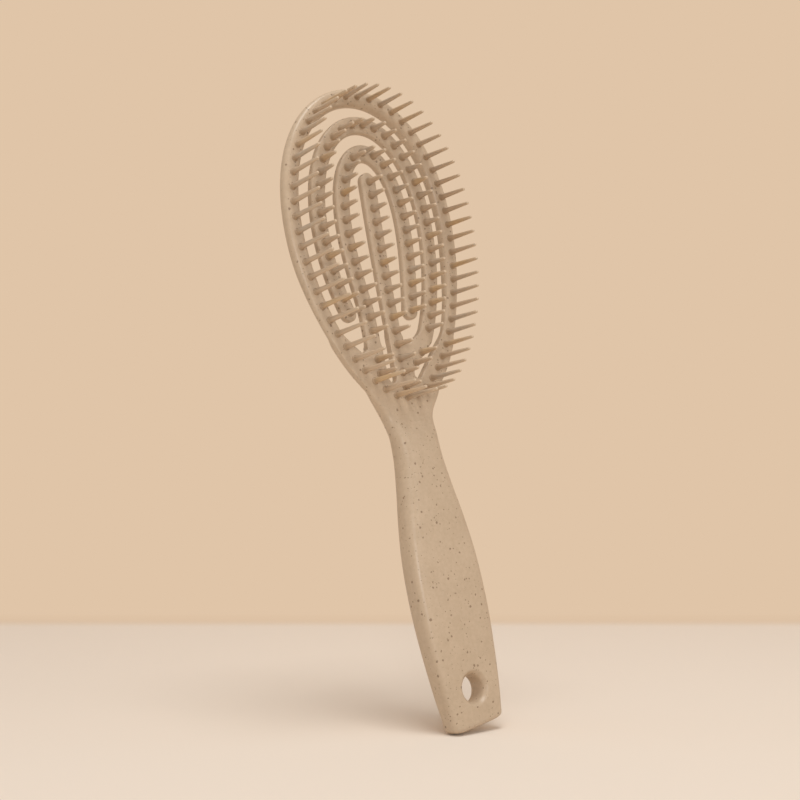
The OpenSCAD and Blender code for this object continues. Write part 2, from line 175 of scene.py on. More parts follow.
def evaluated(mesh: bpy.types.Mesh, dress: Callable[[bpy.types.Object], None]) -> bpy.types.Mesh:
    """Runs modifiers on a mesh and returns what comes out.

    Args:
        mesh: The mesh that goes in.
        dress: A function that adds the modifiers to an object with that mesh.

    Returns:
        The new mesh.
    """
    scratch = bpy.data.objects.new("scratch", mesh)
    bpy.context.scene.collection.objects.link(scratch)
    dress(scratch)
    graph = bpy.context.evaluated_depsgraph_get()
    made = bpy.data.meshes.new_from_object(scratch.evaluated_get(graph), depsgraph=graph)
    bpy.data.objects.remove(scratch)
    return made


def catmull_rom(table: Sequence[float], x: float) -> float:
    """Reads a smooth curve through the even steps of a table.

    Args:
        table: The curve's values at even steps from 0 to 1.
        x: Where the curve is read, from 0 to 1.

    Returns:
        The curve's value there.
    """
    last = len(table) - 1
    q = min(max(x, 0.0), 1.0) * last
    i = min(int(q), last - 1)
    f = q - i
    a, b, c, d = table[max(i - 1, 0)], table[i], table[i + 1], table[min(i + 2, last)]
    return b + f / 2 * ((c - a) + f * ((2 * a - 5 * b + 4 * c - d) + f * (3 * (b - c) + d - a)))


def soft_max(a: float, b: float, reach: float) -> float:
    """The larger of two numbers, rounded off where they are within reach of each other."""
    return (a + b + math.hypot(a - b, reach)) / 2


def ease(k: float) -> float:
    """A smooth step from 0 to 1."""
    k = min(max(k, 0.0), 1.0)
    return k * k * (3 - 2 * k)


# Rows and bands of the head


@dataclass(frozen=True)
class EggRow:
    """An egg-shaped row of pins in the head's plane, in millimetres.

    The row is read by s, the length along it from the crown, positive towards the root leg.
    """

    half_l: float
    half_w: float
    mid_z: float
    fuller: float
    waist: float = 0.0
    side: Side = Side.RIGHT

    TURNS: ClassVar[int] = 1441
    SOFTNESS: ClassVar[float] = 12.0
    NEAR: ClassVar[float] = 0.4

    def _plan_x(self, turns: np.ndarray) -> np.ndarray:
        """Works out distances from the middle.

        Args:
            turns: Turns from the crown, in radians.

        Returns:
            The distance from the middle line at each turn.
        """
        x = self.half_w * np.sin(turns) * (1 + self.fuller * np.cos(turns))
        if self.waist:
            soft = self.half_w / self.SOFTNESS
            kept = (x + self.waist + np.sqrt((x - self.waist) ** 2 + soft**2)) / 2
            x = np.where(turns < math.pi / 2, x, kept)
        return x

    @cached_property
    def _table(self) -> tuple[np.ndarray, np.ndarray]:
        """Measures the row down the root leg's side.

        Returns:
            Lengths from the crown, and the turns at which they are reached.
        """
        turns = np.linspace(0.0, math.pi, self.TURNS)
        x = self._plan_x(turns)
        z = self.half_l * np.cos(turns)
        steps = np.hypot(np.diff(x), np.diff(z))
        return np.concatenate([[0.0], np.cumsum(steps)]), turns

    @cached_property
    def half_turn_length(self) -> float:
        """Length of the row from its crown to its lowest point."""
        return float(self._table[0][-1])

    def length_at(self, share: float) -> float:
        """Length from the crown at a share of the half turn."""
        lengths, turns = self._table
        return float(np.interp(share * math.pi, turns, lengths))

    def plain(self, s: float) -> Vector:
        """Place on the row before it is mirrored, as (x, z).

        Args:
            s: Length from the crown.

        Returns:
            The place.
        """
        lengths, turns = self._table
        turn = math.copysign(float(np.interp(abs(s), lengths, turns)), s)
        return Vector((float(self._plan_x(np.array([turn]))[0]), self.mid_z + self.half_l * math.cos(turn)))

    def heading(self, s: float) -> Vector:
        """Direction of growing s before the row is mirrored, as (x, z)."""
        return (self.plain(s + self.NEAR) - self.plain(s - self.NEAR)).normalized()

    def at(self, s: float) -> Vector:
        """Place on the row as it lies in the brush, as (x, z)."""
        place = self.plain(s)
        return Vector((place.x * self.side.value, place.y))

    def tangent(self, s: float) -> Vector:
        """Direction of growing s as it lies in the brush, as (x, z)."""
        way = self.heading(s)
        return Vector((way.x * self.side.value, way.y))


@dataclass(frozen=True)
class BandSection:
    """A rounded section: its width, thickness and edge radius in millimetres."""

    width: float
    thickness: float
    radius: float

    STEPS: ClassVar[int] = 5
    TIGHT: ClassVar[float] = 2.01

    def outline(self) -> list[tuple[float, float]]:
        """Draws the section.

        Returns:
            Points (across, deep) round it, with the front face at depth 0.
        """
        deep = min(self.radius, self.thickness / self.TIGHT, self.width / self.TIGHT)
        u = self.width / 2 - deep
        corners = ((u, self.thickness - deep), (-u, self.thickness - deep), (-u, deep), (u, deep))
        points = []
        for quarter, (cu, cv) in enumerate(corners):
            for i in range(self.STEPS + 1):
                a = math.pi / 2 * (quarter + i / self.STEPS)
                points.append((cu + deep * math.cos(a), cv + deep * math.sin(a)))
        return points


@dataclass(frozen=True)
class HeadPlate:
    """The head's plate: its rows, bands, web and finger, in millimetres."""

    foot_z: float = 104.0
    rim_low_z: float = 98.8
    rim_row_l: float = 111.0
    rim_row_w: float = 67.6
    crown_pitch: float = 10.3
    outer_row_share: float = 0.695
    inner_row_share: float = 0.3505
    inner_waist_share: float = 0.29
    outer_low_share: float = 0.097
    rim_fuller: float = 0.17
    inner_fuller: float = 0.566
    face_y: float = 1.0
    bow_z: float = 119.6
    bow_r: float = 980.0
    rim_w: float = 6.4
    rim_end_w: float = 5.8
    rim_t: float = 4.4
    rim_edge_r: float = 1.9
    arm_w: float = 6.3
    arm_t: float = 2.8
    arm_edge_r: float = 1.0
    web_edge_r: float = 0.9
    finger_root_w: float = 6.2
    finger_tip_w: float = 7.0
    slot_end_r: float = 1.75
    slot_ends: tuple[tuple[float, float], ...] = (
        (0.1, 0.0865), (0.075, 0.2), (-0.0705, 0.0745), (-0.228, 0.1735),
    )
    foot_draw: float = 0.07
    shoulder_soft: float = 0.8
    shoulder_slopes: tuple[float, float] = (0.31, 1.06)
    rim_cut_share: float = 0.712
    rim_thin_share: float = 0.3
    outer_root_share: float = 0.766
    outer_tip_share: float = 0.677
    inner_root_share: float = 0.702
    inner_tip_share: float = 0.591
    finger_root_share: float = 0.2045
    outer_pin_pitch: float = 5.1
    inner_pin_pitch: float = 5.0

    STEP: ClassVar[float] = 1.2
    OVERLAP: ClassVar[float] = 3.0
    TIP_STEPS: ClassVar[int] = 12
    BEVEL_STEPS: ClassVar[int] = 4
    ARC_STEPS: ClassVar[int] = 14
    EDGE_STEPS: ClassVar[int] = 14
    SEEK_STEP: ClassVar[float] = 0.05

    @cached_property
    def rim(self) -> EggRow:
        """The rim's row of pins."""
        half = self.rim_row_l / 2
        return EggRow(half, self.rim_row_w / 2, self.rim_low_z + half, self.rim_fuller)

    @property
    def _outer_top(self) -> float:
        """Height of the outer arm's row at its crown."""
        return self.rim_low_z + self.rim_row_l - self.crown_pitch

    @property
    def _arm_half_l(self) -> float:
        """Half length of both arms' rows."""
        return (self._outer_top - self.rim_low_z - self.outer_low_share * self.rim_row_l) / 2

    @cached_property
    def outer(self) -> EggRow:
        """Lays out the outer arm.

        Returns:
            Its row of pins, rooted on the right.
        """
        half = self._arm_half_l
        width = self.rim_row_w / 2 * self.outer_row_share
        return EggRow(half, width, self._outer_top - half, self.rim_fuller)

    @cached_property
    def inner(self) -> EggRow:
        """Lays out the inner arm.

        Returns:
            Its row of pins, rooted on the left.
        """
        half = self._arm_half_l
        mid_z = self._outer_top - self.crown_pitch - half
        half_w = self.rim_row_w / 2
        return EggRow(half, half_w * self.inner_row_share, mid_z, self.inner_fuller,
                      half_w * self.inner_waist_share, Side.LEFT)

    @cached_property
    def rim_cut(self) -> float:
        """Length along the rim at which it runs into the web."""
        return self.rim.length_at(self.rim_cut_share)

    @cached_property
    def outer_root(self) -> float:
        """Length along the outer arm at its flexing root."""
        return self.outer.length_at(self.outer_root_share)

    @cached_property
    def outer_tip(self) -> float:
        """Length along the outer arm at its free tip's middle."""
        return self.outer.length_at(self.outer_tip_share)

    @cached_property
    def inner_root(self) -> float:
        """Length along the inner arm at its flexing root."""
        return self.inner.length_at(self.inner_root_share)

    @cached_property
    def inner_tip(self) -> float:
        """Length along the inner arm at its free tip's middle."""
        return self.inner.length_at(self.inner_tip_share)

    @property
    def outer_gap(self) -> float:
        """Length along the outer arm at its crown's flexing gap."""
        return self._gap(self.outer_pin_pitch, self.outer_tip)

    @property
    def inner_gap(self) -> float:
        """Length along the inner arm at its crown's flexing gap."""
        return self._gap(self.inner_pin_pitch, self.inner_tip)

    @staticmethod
    def _gap(pitch: float, tip: float) -> float:
        """Length to the middle between the two pins that are nearest to the crown."""
        return (math.floor(tip / pitch) + 0.5) * pitch - tip

    @property
    def finger_root_z(self) -> float:
        """Height of the finger's flexing root."""
        return self.rim_low_z + self.finger_root_share * self.rim_row_l

    @property
    def finger_top_z(self) -> float:
        """Height of the finger's round tip."""
        return self._outer_top - self.crown_pitch - self.arm_w / 2 - (self.crown_pitch - self.arm_w)

    def face_at(self, z: float) -> float:
        """Depth of the plate's front face at a height."""
        return self.face_y - max(z - self.bow_z, 0.0) ** 2 / (2 * self.bow_r)

    def _ring(self, place: Vector, heading: Vector, section: BandSection, side: Side) -> Ring:
        """Makes one ring of a band.

        Args:
            place: The ring's middle, before mirroring.
            heading: The band's direction there, before mirroring.
            section: The band's section.
            side: The side on which the band is rooted.

        Returns:
            The ring's points, mirrored to their side.
        """
        across = Vector((-heading.y, heading.x))
        ring = []
        for u, v in section.outline():
            z = place.y + across.y * u
            ring.append(((place.x + across.x * u) * side.value, self.face_at(z) + v, z))
        return ring

    def _row_rings(
        self, row: EggRow, s0: float, s1: float, section: Callable[[float], BandSection]
    ) -> list[Ring]:
        """Makes the rings of a band that follows a row.

        Args:
            row: The row.
            s0: Length along it at which the band starts.
            s1: Length along it at which the band ends.
            section: Gives the band's section at a length.

        Returns:
            The rings, from start to end.
        """
        count = math.ceil(abs(s1 - s0) / self.STEP)
        way = 1.0 if s1 > s0 else -1.0
        rings = []
        for i in range(count + 1):
            s = s0 + (s1 - s0) * i / count
            rings.append(self._ring(row.plain(s), row.heading(s) * way, section(s), row.side))
        return rings

    def _tip_rings(self, place: Vector, heading: Vector, width: float, side: Side) -> list[Ring]:
        """Makes the rings that close a band in a half round.

        Args:
            place: Where the half round starts, before mirroring.
            heading: The way in which it goes on.
            width: The band's width there.
            side: The side on which the band is rooted.

        Returns:
            The rings, from the widest to the narrowest.
        """
        rings = []
        for i in range(1, self.TIP_STEPS):
            a = math.pi / 2 * i / self.TIP_STEPS
            section = BandSection(width * math.cos(a), self.arm_t, self.arm_edge_r)
            rings.append(self._ring(place + heading * (width / 2 * math.sin(a)), heading, section, side))
        return rings

    def _rim_section(self, s: float) -> BandSection:
        """Gives the rim's section, which thins to the web's own thickness before its two ends.

        Args:
            s: Length along the rim from its crown.

        Returns:
            The section there.
        """
        k = ease((self.rim_cut - abs(s)) / (self.rim_thin_share * self.rim_cut))
        width = self.rim_end_w + (self.rim_w - self.rim_end_w) * k
        return BandSection(width, self.arm_t + (self.rim_t - self.arm_t) * k, self.rim_edge_r)

    def add_rim(self, shell: Shell) -> None:
        """Adds the stiff outer rim.

        Args:
            shell: The shell that takes it.
        """
        shell.add_rings(self._row_rings(self.rim, -self.rim_cut, self.rim_cut, self._rim_section))

    def add_arm(self, shell: Shell, row: EggRow, root: float, tip: float) -> None:
        """Adds one arch-shaped arm, from its root round its crown to its free tip.

        Args:
            shell: The shell that takes it.
            row: The arm's row of pins.
            root: Length from the crown to the root.
            tip: Length from the crown to the free tip's middle.
        """
        section = BandSection(self.arm_w, self.arm_t, self.arm_edge_r)
        rings = self._row_rings(row, root, -tip, lambda s: section)
        rings += self._tip_rings(row.plain(-tip), -row.heading(-tip), self.arm_w, row.side)
        shell.add_rings(rings)

    def add_finger(self, shell: Shell) -> None:
        """Adds the straight finger in the middle.

        Args:
            shell: The shell that takes it.
        """
        z0 = self.finger_root_z
        z1 = self.finger_top_z - self.finger_tip_w / 2
        count = math.ceil((z1 - z0) / self.STEP)
        up = Vector((0.0, 1.0))
        rings = []
        for i in range(count + 1):
            k = i / count
            width = self.finger_root_w * (1 - k) + self.finger_tip_w * k
            section = BandSection(width, self.arm_t, self.arm_edge_r)
            rings.append(self._ring(Vector((0.0, z0 + (z1 - z0) * k)), up, section, Side.RIGHT))
        rings += self._tip_rings(Vector((0.0, z1)), up, self.finger_tip_w, Side.RIGHT)
        shell.add_rings(rings)

    @staticmethod
    def _corner(row: EggRow, s: float, width: float, outward: int) -> Vector:
        """Corner of a band's cut face at a length along its row, before mirroring."""
        heading = row.heading(s)
        return row.plain(s) + Vector((-heading.y, heading.x)) * (outward * width / 2)

    def _edge_width(self, k: float) -> float:
        """Width that sets the foot's outer edge, drawn in on its way down."""
        return self.rim_end_w * (1 - self.foot_draw * (1 - k) ** 2)

    @cached_property
    def _rim_foot(self) -> float:
        """Seeks the place at which the rim's drawn-in edge meets the foot.

        Returns:
            The length along the rim.
        """
        s = self.rim_cut
        while self._corner(self.rim, s, self._edge_width(0.0), 1).y > self.foot_z:
            s += self.SEEK_STEP
        return s

    @cached_property
    def base_half_w(self) -> float:
        """Half width of the head's foot."""
        return self._corner(self.rim, self._rim_foot, self._edge_width(0.0), 1).x

    def _slot_end(self, start: Vector, end: Vector, share: tuple[float, float]) -> list[Vector]:
        """Draws the round lower end of a slot.

        Args:
            start: The corner at which it starts.
            end: The corner at which it ends.
            share: Where its middle is, as shares of the rim row's width and length.

        Returns:
            Points from the first corner round to the second.
        """
        middle = Vector((share[0] * self.rim_row_w, self.rim_low_z + share[1] * self.rim_row_l))
        up = (start + end) / 2 - middle
        across = Vector((-up.y, up.x)).normalized()
        side = 1 if across.dot(start - end) > 0 else -1
        first = math.atan2(side * across.y, side * across.x)
        away = math.atan2(-up.y, -up.x)
        turn = math.pi if math.sin(away - first) > 0 else -math.pi
        angles = [first + turn * i / self.ARC_STEPS for i in range(self.ARC_STEPS + 1)]
        arc = [middle + Vector((math.cos(angle), math.sin(angle))) * self.slot_end_r for angle in angles]
        mouth = Vector((start.y - end.y, end.x - start.x))
        inward = mouth.dot(middle - start)
        return [start] + [p for p in arc if mouth.dot(p - start) * inward > 0] + [end]

    def _web_outline(self) -> list[Vector]:
        """Draws the web at the head's foot, with tongues that run up into the bands.

        Returns:
            The outline's points, as (x, z).
        """
        def tongue(row: EggRow, s: float, first: int) -> list[Vector]:
            """Draws the end of a tongue that runs up into a band.

            Args:
                row: The band's row.
                s: Length along it at the band's root.
                first: The side whose corner comes first, 1 outward or -1 inward.

            Returns:
                The tongue's two upper corners.
            """
            mirror = row.side.value
            corners = [self._corner(row, s - self.OVERLAP, width, way) for way in (first, -first)]
            return [Vector((c.x * mirror, c.y)) for c in corners]

        width = self.arm_w
        flip = Vector((-1.0, 1.0))
        rim_in_r = self._corner(self.rim, self.rim_cut, self.rim_end_w, -1)
        rim_in_l = rim_in_r * flip
        outer_out = self._corner(self.outer, self.outer_root, width, 1)
        outer_in = self._corner(self.outer, self.outer_root, width, -1)
        inner_out = self._corner(self.inner, self.inner_root, width, 1) * flip
        inner_in = self._corner(self.inner, self.inner_root, width, -1) * flip
        finger_r = Vector((self.finger_root_w / 2, self.finger_root_z))
        finger_l = finger_r * flip
        up = Vector((0.0, self.OVERLAP))
        right_end, middle_right_end, middle_left_end, left_end = self.slot_ends
        edge = []
        for i in range(self.EDGE_STEPS + 1):
            k = i / self.EDGE_STEPS
            s = self._rim_foot + (self.rim_cut - self._rim_foot) * k
            corner = self._corner(self.rim, s, self._edge_width(k), 1)
            neck = self.base_half_w + self.shoulder_slopes[0] * (corner.y - self.foot_z)
            edge.append(Vector((soft_max(corner.x, neck, self.shoulder_soft), corner.y)))
        top = self.rim_cut - self.OVERLAP
        right = edge + [self._corner(self.rim, top, self.rim_end_w, way) for way in (1, -1)]
        left = [p * flip for p in reversed(right)]
        tuck = Vector((self.OVERLAP, self.OVERLAP))
        foot_l = left[-1] + Vector((tuck.x, -tuck.y))
        foot_r = right[0] - tuck
        return [
            *right,
            *self._slot_end(rim_in_r, outer_out, right_end),
            *tongue(self.outer, self.outer_root, 1),
            *self._slot_end(outer_in, finger_r, middle_right_end),
            finger_r + up,
            finger_l + up,
            *self._slot_end(finger_l, inner_in, middle_left_end),
            *tongue(self.inner, self.inner_root, -1),
            *self._slot_end(inner_out, rim_in_l, left_end),
            *left,
            foot_l,
            foot_r,
        ]

    def add_web(self, shell: Shell) -> None:
        """Adds the flat web in which all strips are rooted, with rounded edges.

        Args:
            shell: The shell that takes it.
        """
        outline = self._web_outline()
        edges_mesh = bmesh.new()
        front = [edges_mesh.verts.new((p.x, self.face_y, p.y)) for p in outline]
        back = [edges_mesh.verts.new((p.x, self.face_y + self.arm_t, p.y)) for p in outline]
        edges_mesh.faces.new(front)
        edges_mesh.faces.new(list(reversed(back)))
        n = len(outline)
        for i in range(n):
            j = (i + 1) % n
            edges_mesh.faces.new((front[j], front[i], back[i], back[j]))
        lips = [e for e in edges_mesh.edges if abs(e.verts[0].co.y - e.verts[1].co.y) < self.arm_t / 2]
        bmesh.ops.bevel(edges_mesh, geom=lips, offset=self.web_edge_r, offset_type="OFFSET",
                        segments=self.BEVEL_STEPS, profile=0.5, affect="EDGES", clamp_overlap=False)
        bmesh.ops.triangulate(edges_mesh, faces=edges_mesh.faces[:])
        made = bpy.data.meshes.new("web")
        edges_mesh.to_mesh(made)
        edges_mesh.free()
        shell.add_mesh(made)


@dataclass(frozen=True)
class Grip:
    """The flat handle with its neck and hang hole, in millimetres."""

    plate: HeadPlate
    grip_w: float = 29.4
    neck_w: float = 18.6
    end_drop: float = 12.4
    end_slant: float = 5.5
    end_t: float = 7.8
    grip_t: float = 9.4
    grip_crown: float = 0.4
    end_corner_r: float = 2.2
    end_round_r: float = 1.6
    lean: float = 2.4
    hole_r: float = 4.4
    hole_bevel: float = 1.5
    lip_softness: float = 0.5
    join_share: float = 0.1
    swell_share: float = 0.11
    face_end_z: float = 97.24
    grip_shares: tuple[float, ...] = (0.30, 0.56, 0.81, 0.965, 1, 0.91, 0.645, 0.285, 0.02, 0.17, 1.05)
    thick_shares: tuple[float, ...] = (-0.7, 0.12, 0.35, 0.65, 0.9, 1, 1, 0.93, 0.55, -1.25, -3.1)
    round_shares: tuple[float, ...] = (0.55, 0.56, 0.6, 0.62, 0.66, 0.72, 0.8, 0.9, 0.94, 0.85, 0.55)

    FACE_STEPS: ClassVar[int] = 14
    CORNER_STEPS: ClassVar[int] = 9
    LENGTH_STEPS: ClassVar[int] = 110
    END_STEPS: ClassVar[int] = 8
    HOLE_SIDES: ClassVar[int] = 96
    HOLE_STEPS: ClassVar[int] = 48
    SLANT_REACH: ClassVar[float] = 3.0

    def _share(self, z: float) -> float:
        """Share of the way from the flat end to the head."""
        return (z + self.end_drop) / (self.plate.foot_z + self.end_drop)

    def _to_plate(self, z: float, own: float, plate: float) -> float:
        """Runs the handle's own size into the plate's near the head."""
        k = min(max((self._share(z) - 1 + self.join_share) / self.join_share, 0.0), 1.0)
        return own + (plate - own) * k**3

    def half_w(self, z: float) -> float:
        """Gives the handle's half width.

        Args:
            z: The height.

        Returns:
            The half width there, which runs out into the head's shoulder.
        """
        plate = self.plate
        share = catmull_rom(self.grip_shares, self._share(z))
        own = self.neck_w / 2 + (self.grip_w - self.neck_w) / 2 * share
        shoulder = plate.base_half_w + plate.shoulder_slopes[1] * (z - plate.foot_z)
        return soft_max(self._to_plate(z, own, plate.base_half_w), shoulder, plate.shoulder_soft)

    def thickness(self, z: float) -> float:
        """Thickness at a height."""
        own = self.end_t + (self.grip_t - self.end_t) * catmull_rom(self.thick_shares, self._share(z))
        return self._to_plate(z, own, self.plate.arm_t)

    def _on_face(self, z: float) -> float:
        """How far the front is flush with the head's flat face, from 0 to 1."""
        return ease((z - self.face_end_z) / (self.swell_share * self.plate.foot_z) + 1)

    def _mid_y(self, z: float) -> float:
        """Gives the depth of the handle's middle.

        Args:
            z: The height.

        Returns:
            The depth there: a leaning grip that runs into the plate.
        """
        k = self._on_face(z)
        leaning = self.lean * z / self.plate.foot_z
        return leaning * (1 - k) + (self.plate.face_y + self.thickness(z) / 2) * k

    def _ring(self, z: float, draw: float, draw_w: float) -> Ring:
        """Makes one ring of the handle.

        Args:
            z: Its height.
            draw: How far it is drawn in on all sides.
            draw_w: How far it is drawn in once more across.

        Returns:
            The ring's points.
        """
        w = self.half_w(z) - draw - draw_w
        h = self.thickness(z) / 2 - draw
        r = min(h * catmull_rom(self.round_shares, self._share(z)), w / 2)
        crown = self.grip_crown * (1 - self._on_face(z))
        slanting = 1 - (z + self.end_drop) / (self.SLANT_REACH * self.end_corner_r)
        slant = math.tan(math.radians(self.end_slant)) * max(slanting, 0)
        outline: list[tuple[float, float]] = []
        centres = ((w - r, h - r), (r - w, h - r), (r - w, r - h), (w - r, r - h))
        for quarter, (cx, cy) in enumerate(centres):
            for i in range(self.CORNER_STEPS + 1):
                a = math.pi / 2 * (quarter + i / self.CORNER_STEPS)
                outline.append((cx + r * math.cos(a), cy + r * math.sin(a)))
            if quarter % 2 == 0:
                way = 1 if quarter == 0 else -1
                for i in range(1, self.FACE_STEPS):
                    outline.append((way * (1 - 2 * i / self.FACE_STEPS) * (w - r), way * h))
        middle = self._mid_y(z)
        ring = []
        for x, y in outline:
            swell = 1 + crown / h * (1 - (x / w) ** 2) * (y / h) ** 2
            ring.append((x, middle + y * swell, z + slant * x))
        return ring

    def _end_draw(self, z: float) -> float:
        """Gives how far the flat end's corners draw the sides in.

        Args:
            z: The height.

        Returns:
            The distance that each side moves in.
        """
        up = z + self.end_drop
        if up >= self.end_corner_r:
            return 0.0
        return self.end_corner_r - math.sqrt(up * (2 * self.end_corner_r - up))

    def _rings(self) -> list[Ring]:
        """Makes all rings of the handle.

        Returns:
            The rings, from the flat end to the head.
        """
        rings = []
        for i in range(self.END_STEPS + 1):
            a = math.pi / 2 * i / self.END_STEPS
            z = self.end_round_r * (1 - math.cos(a)) - self.end_drop
            rings.append(self._ring(z, self.end_round_r * (1 - math.sin(a)), self._end_draw(z)))
        z0 = self.end_round_r - self.end_drop
        for i in range(1, self.LENGTH_STEPS + 1):
            z = z0 + (self.plate.foot_z - z0) * i / self.LENGTH_STEPS
            rings.append(self._ring(z, 0.0, self._end_draw(z)))
        return rings

    def _hole_cutter(self) -> bpy.types.Mesh:
        """Turns the hang hole's bore with a soft bevelled mouth on either side.

        Returns:
            The mesh that is cut away.
        """
        mouth = self.thickness(0.0) / 2 + self.grip_crown
        reach = mouth + 2 * self.hole_bevel
        rings = []
        for i in range(self.HOLE_STEPS + 1):
            y = reach * (2 * i / self.HOLE_STEPS - 1)
            d = abs(y) - (mouth - self.hole_bevel)
            r = self.hole_r + (d + math.sqrt(d * d + self.lip_softness**2)) / 2
            angles = (2 * math.pi * j / self.HOLE_SIDES for j in range(self.HOLE_SIDES))
            rings.append([(r * math.sin(a), y, r * math.cos(a)) for a in angles])
        shell = Shell()
        shell.add_rings(rings)
        return shell.mesh("hole_cutter")

    def add(self, shell: Shell) -> None:
        """Adds the handle with its hang hole cut through.

        Args:
            shell: The shell that takes it.
        """
        body = Shell()
        body.add_rings(self._rings())
        cutter = bpy.data.objects.new("hole_cutter", self._hole_cutter())
        bpy.context.scene.collection.objects.link(cutter)

        def dress(scratch: bpy.types.Object) -> None:
            """Adds the hole's Boolean modifier.

            Args:
                scratch: The object with the handle's mesh.
            """
            cut = scratch.modifiers.new("hole", "BOOLEAN")
            cut.operation = "DIFFERENCE"
            cut.solver = "EXACT"
            cut.object = cutter

        shell.add_mesh(evaluated(body.mesh("grip"), dress))
        bpy.data.objects.remove(cutter)


# Finishes


class NodeBoard:
    """Adds shader nodes to a material or a world and links them."""

    def __init__(self, owner: bpy.types.Material | bpy.types.World) -> None:
        """Empties the owner's nodes.

        Args:
            owner: The new material or world.
        """
        owner.use_nodes = True
        self.owner = owner
        self.tree = owner.node_tree
        self.tree.nodes.clear()

    def add(self, kind: str, **settings: object) -> bpy.types.Node:
        """Adds a node.

        Args:
            kind: The node's type name.
            **settings: Attributes of the node, such as operation or blend_type.

        Returns:
            The node.
        """
        node = self.tree.nodes.new(kind)
        for name, value in settings.items():
            setattr(node, name, value)
        return node

    def join(self, source: bpy.types.NodeSocket, target: bpy.types.NodeSocket) -> None:
        """Links an output to an input."""
        self.tree.links.new(source, target)

    def maths(
        self, operation: str, first: object, second: object = None, clamp: bool = False
    ) -> bpy.types.NodeSocket:
        """Adds a Math node.

        Args:
            operation: The node's operation.
            first: A socket or a number.
            second: A socket or a number, or None.
            clamp: Whether the result is kept between 0 and 1.

        Returns:
            The result's socket.
        """
        node = self.add("ShaderNodeMath", operation=operation, use_clamp=clamp)
        for socket, value in zip(node.inputs, (first, second)):
            if isinstance(value, bpy.types.NodeSocket):
                self.join(value, socket)
            elif value is not None:
                socket.default_value = value
        return node.outputs[0]

    def mixed(self, factor: bpy.types.NodeSocket, below: object, above: object) -> bpy.types.NodeSocket:
        """Mixes two colours.

        Args:
            factor: The share of the second colour.
            below: The first colour, as a socket or three numbers.
            above: The second colour, as a socket or three numbers.

        Returns:
            The mixed colour's socket.
        """
        node = self.add("ShaderNodeMix", data_type="RGBA")
        self.join(factor, node.inputs["Factor"])
        for name, value in (("A", below), ("B", above)):
            socket = next(s for s in node.inputs if s.name == name and s.type == "RGBA")
            if isinstance(value, bpy.types.NodeSocket):
                self.join(value, socket)
            else:
                socket.default_value = (*value, 1.0)
        return next(s for s in node.outputs if s.type == "RGBA")

    def seen(self) -> bpy.types.NodeSocket:
        """Tells rays that show a thing from rays that light one.

        Returns:
            A socket that is 1 for camera, glossy and transmission rays and 0 for the rest.
        """
        path = self.add("ShaderNodeLightPath")
        either = self.maths("MAXIMUM", path.outputs["Is Camera Ray"], path.outputs["Is Glossy Ray"])
        return self.maths("MAXIMUM", either, path.outputs["Is Transmission Ray"])

    def glow(self, kind: str, colour: Colour) -> bpy.types.Node:
        """Adds an even light of a colour.

        Args:
            kind: The type name of an Emission or Background node.
            colour: Its colour.

        Returns:
            The node, at a strength of 1.
        """
        node = self.add(kind)
        node.inputs["Color"].default_value = (*colour, 1.0)
        return node

    def finish(self, kind: str, shader: bpy.types.Node) -> None:
        """Links a shader to a new output node of a kind."""
        self.join(shader.outputs[0], self.add(kind).inputs["Surface"])

    def finish_mixed(
        self, kind: str, factor: bpy.types.NodeSocket, below: bpy.types.Node, above: bpy.types.Node
    ) -> None:
        """Mixes two shaders and links them to a new output node.

        Args:
            kind: The output's type name.
            factor: The share of the second shader.
            below: The first shader.
            above: The second shader.
        """
        both = self.add("ShaderNodeMixShader")
        self.join(factor, both.inputs[0])
        self.join(below.outputs[0], both.inputs[1])
        self.join(above.outputs[0], both.inputs[2])
        self.finish(kind, both)


@dataclass(frozen=True)
class Flecks:
    """Scattered flecks of one size, at most one to a cell.

    The density is in cells to a metre, the radius is the largest fleck's as a share of a cell, bare is the
    share of cells without a fleck, and the strength is the depth of colour.
    """

    density: float
    radius: float
    bare: float
    strength: float

    SHARPNESS: ClassVar[float] = 14.0

    def mask(self, board: NodeBoard, place: bpy.types.NodeSocket) -> bpy.types.NodeSocket:
        """Makes the mask of the flecks.

        Args:
            board: The material's nodes.
            place: Where the texture is read.

        Returns:
            A socket that is the strength on a fleck and 0 off it.
        """
        cells = board.add("ShaderNodeTexVoronoi", feature="F1")
        cells.inputs["Scale"].default_value = self.density
        board.join(place, cells.inputs["Vector"])
        parts = board.add("ShaderNodeSeparateColor")
        board.join(cells.outputs["Color"], parts.inputs[0])
        drawn = board.maths("SUBTRACT", parts.outputs[0], self.bare)
        limit = board.maths("MULTIPLY", drawn, self.radius / (1 - self.bare))
        inside = board.maths("SUBTRACT", limit, cells.outputs["Distance"])
        sharp = board.maths("MULTIPLY", inside, self.SHARPNESS, clamp=True)
        return board.maths("MULTIPLY", sharp, self.strength)


def noise(
    board: NodeBoard, place: bpy.types.NodeSocket, scale: float, detail: float = NOISE_DETAIL
) -> bpy.types.Node:
    """Adds a noise texture.

    Args:
        board: The material's nodes.
        place: Where the texture is read.
        scale: Waves per metre.
        detail: How many finer layers it has.

    Returns:
        The texture's node.
    """
    node = board.add("ShaderNodeTexNoise")
    node.inputs["Scale"].default_value = scale
    node.inputs["Detail"].default_value = detail
    board.join(place, node.inputs["Vector"])
    return node


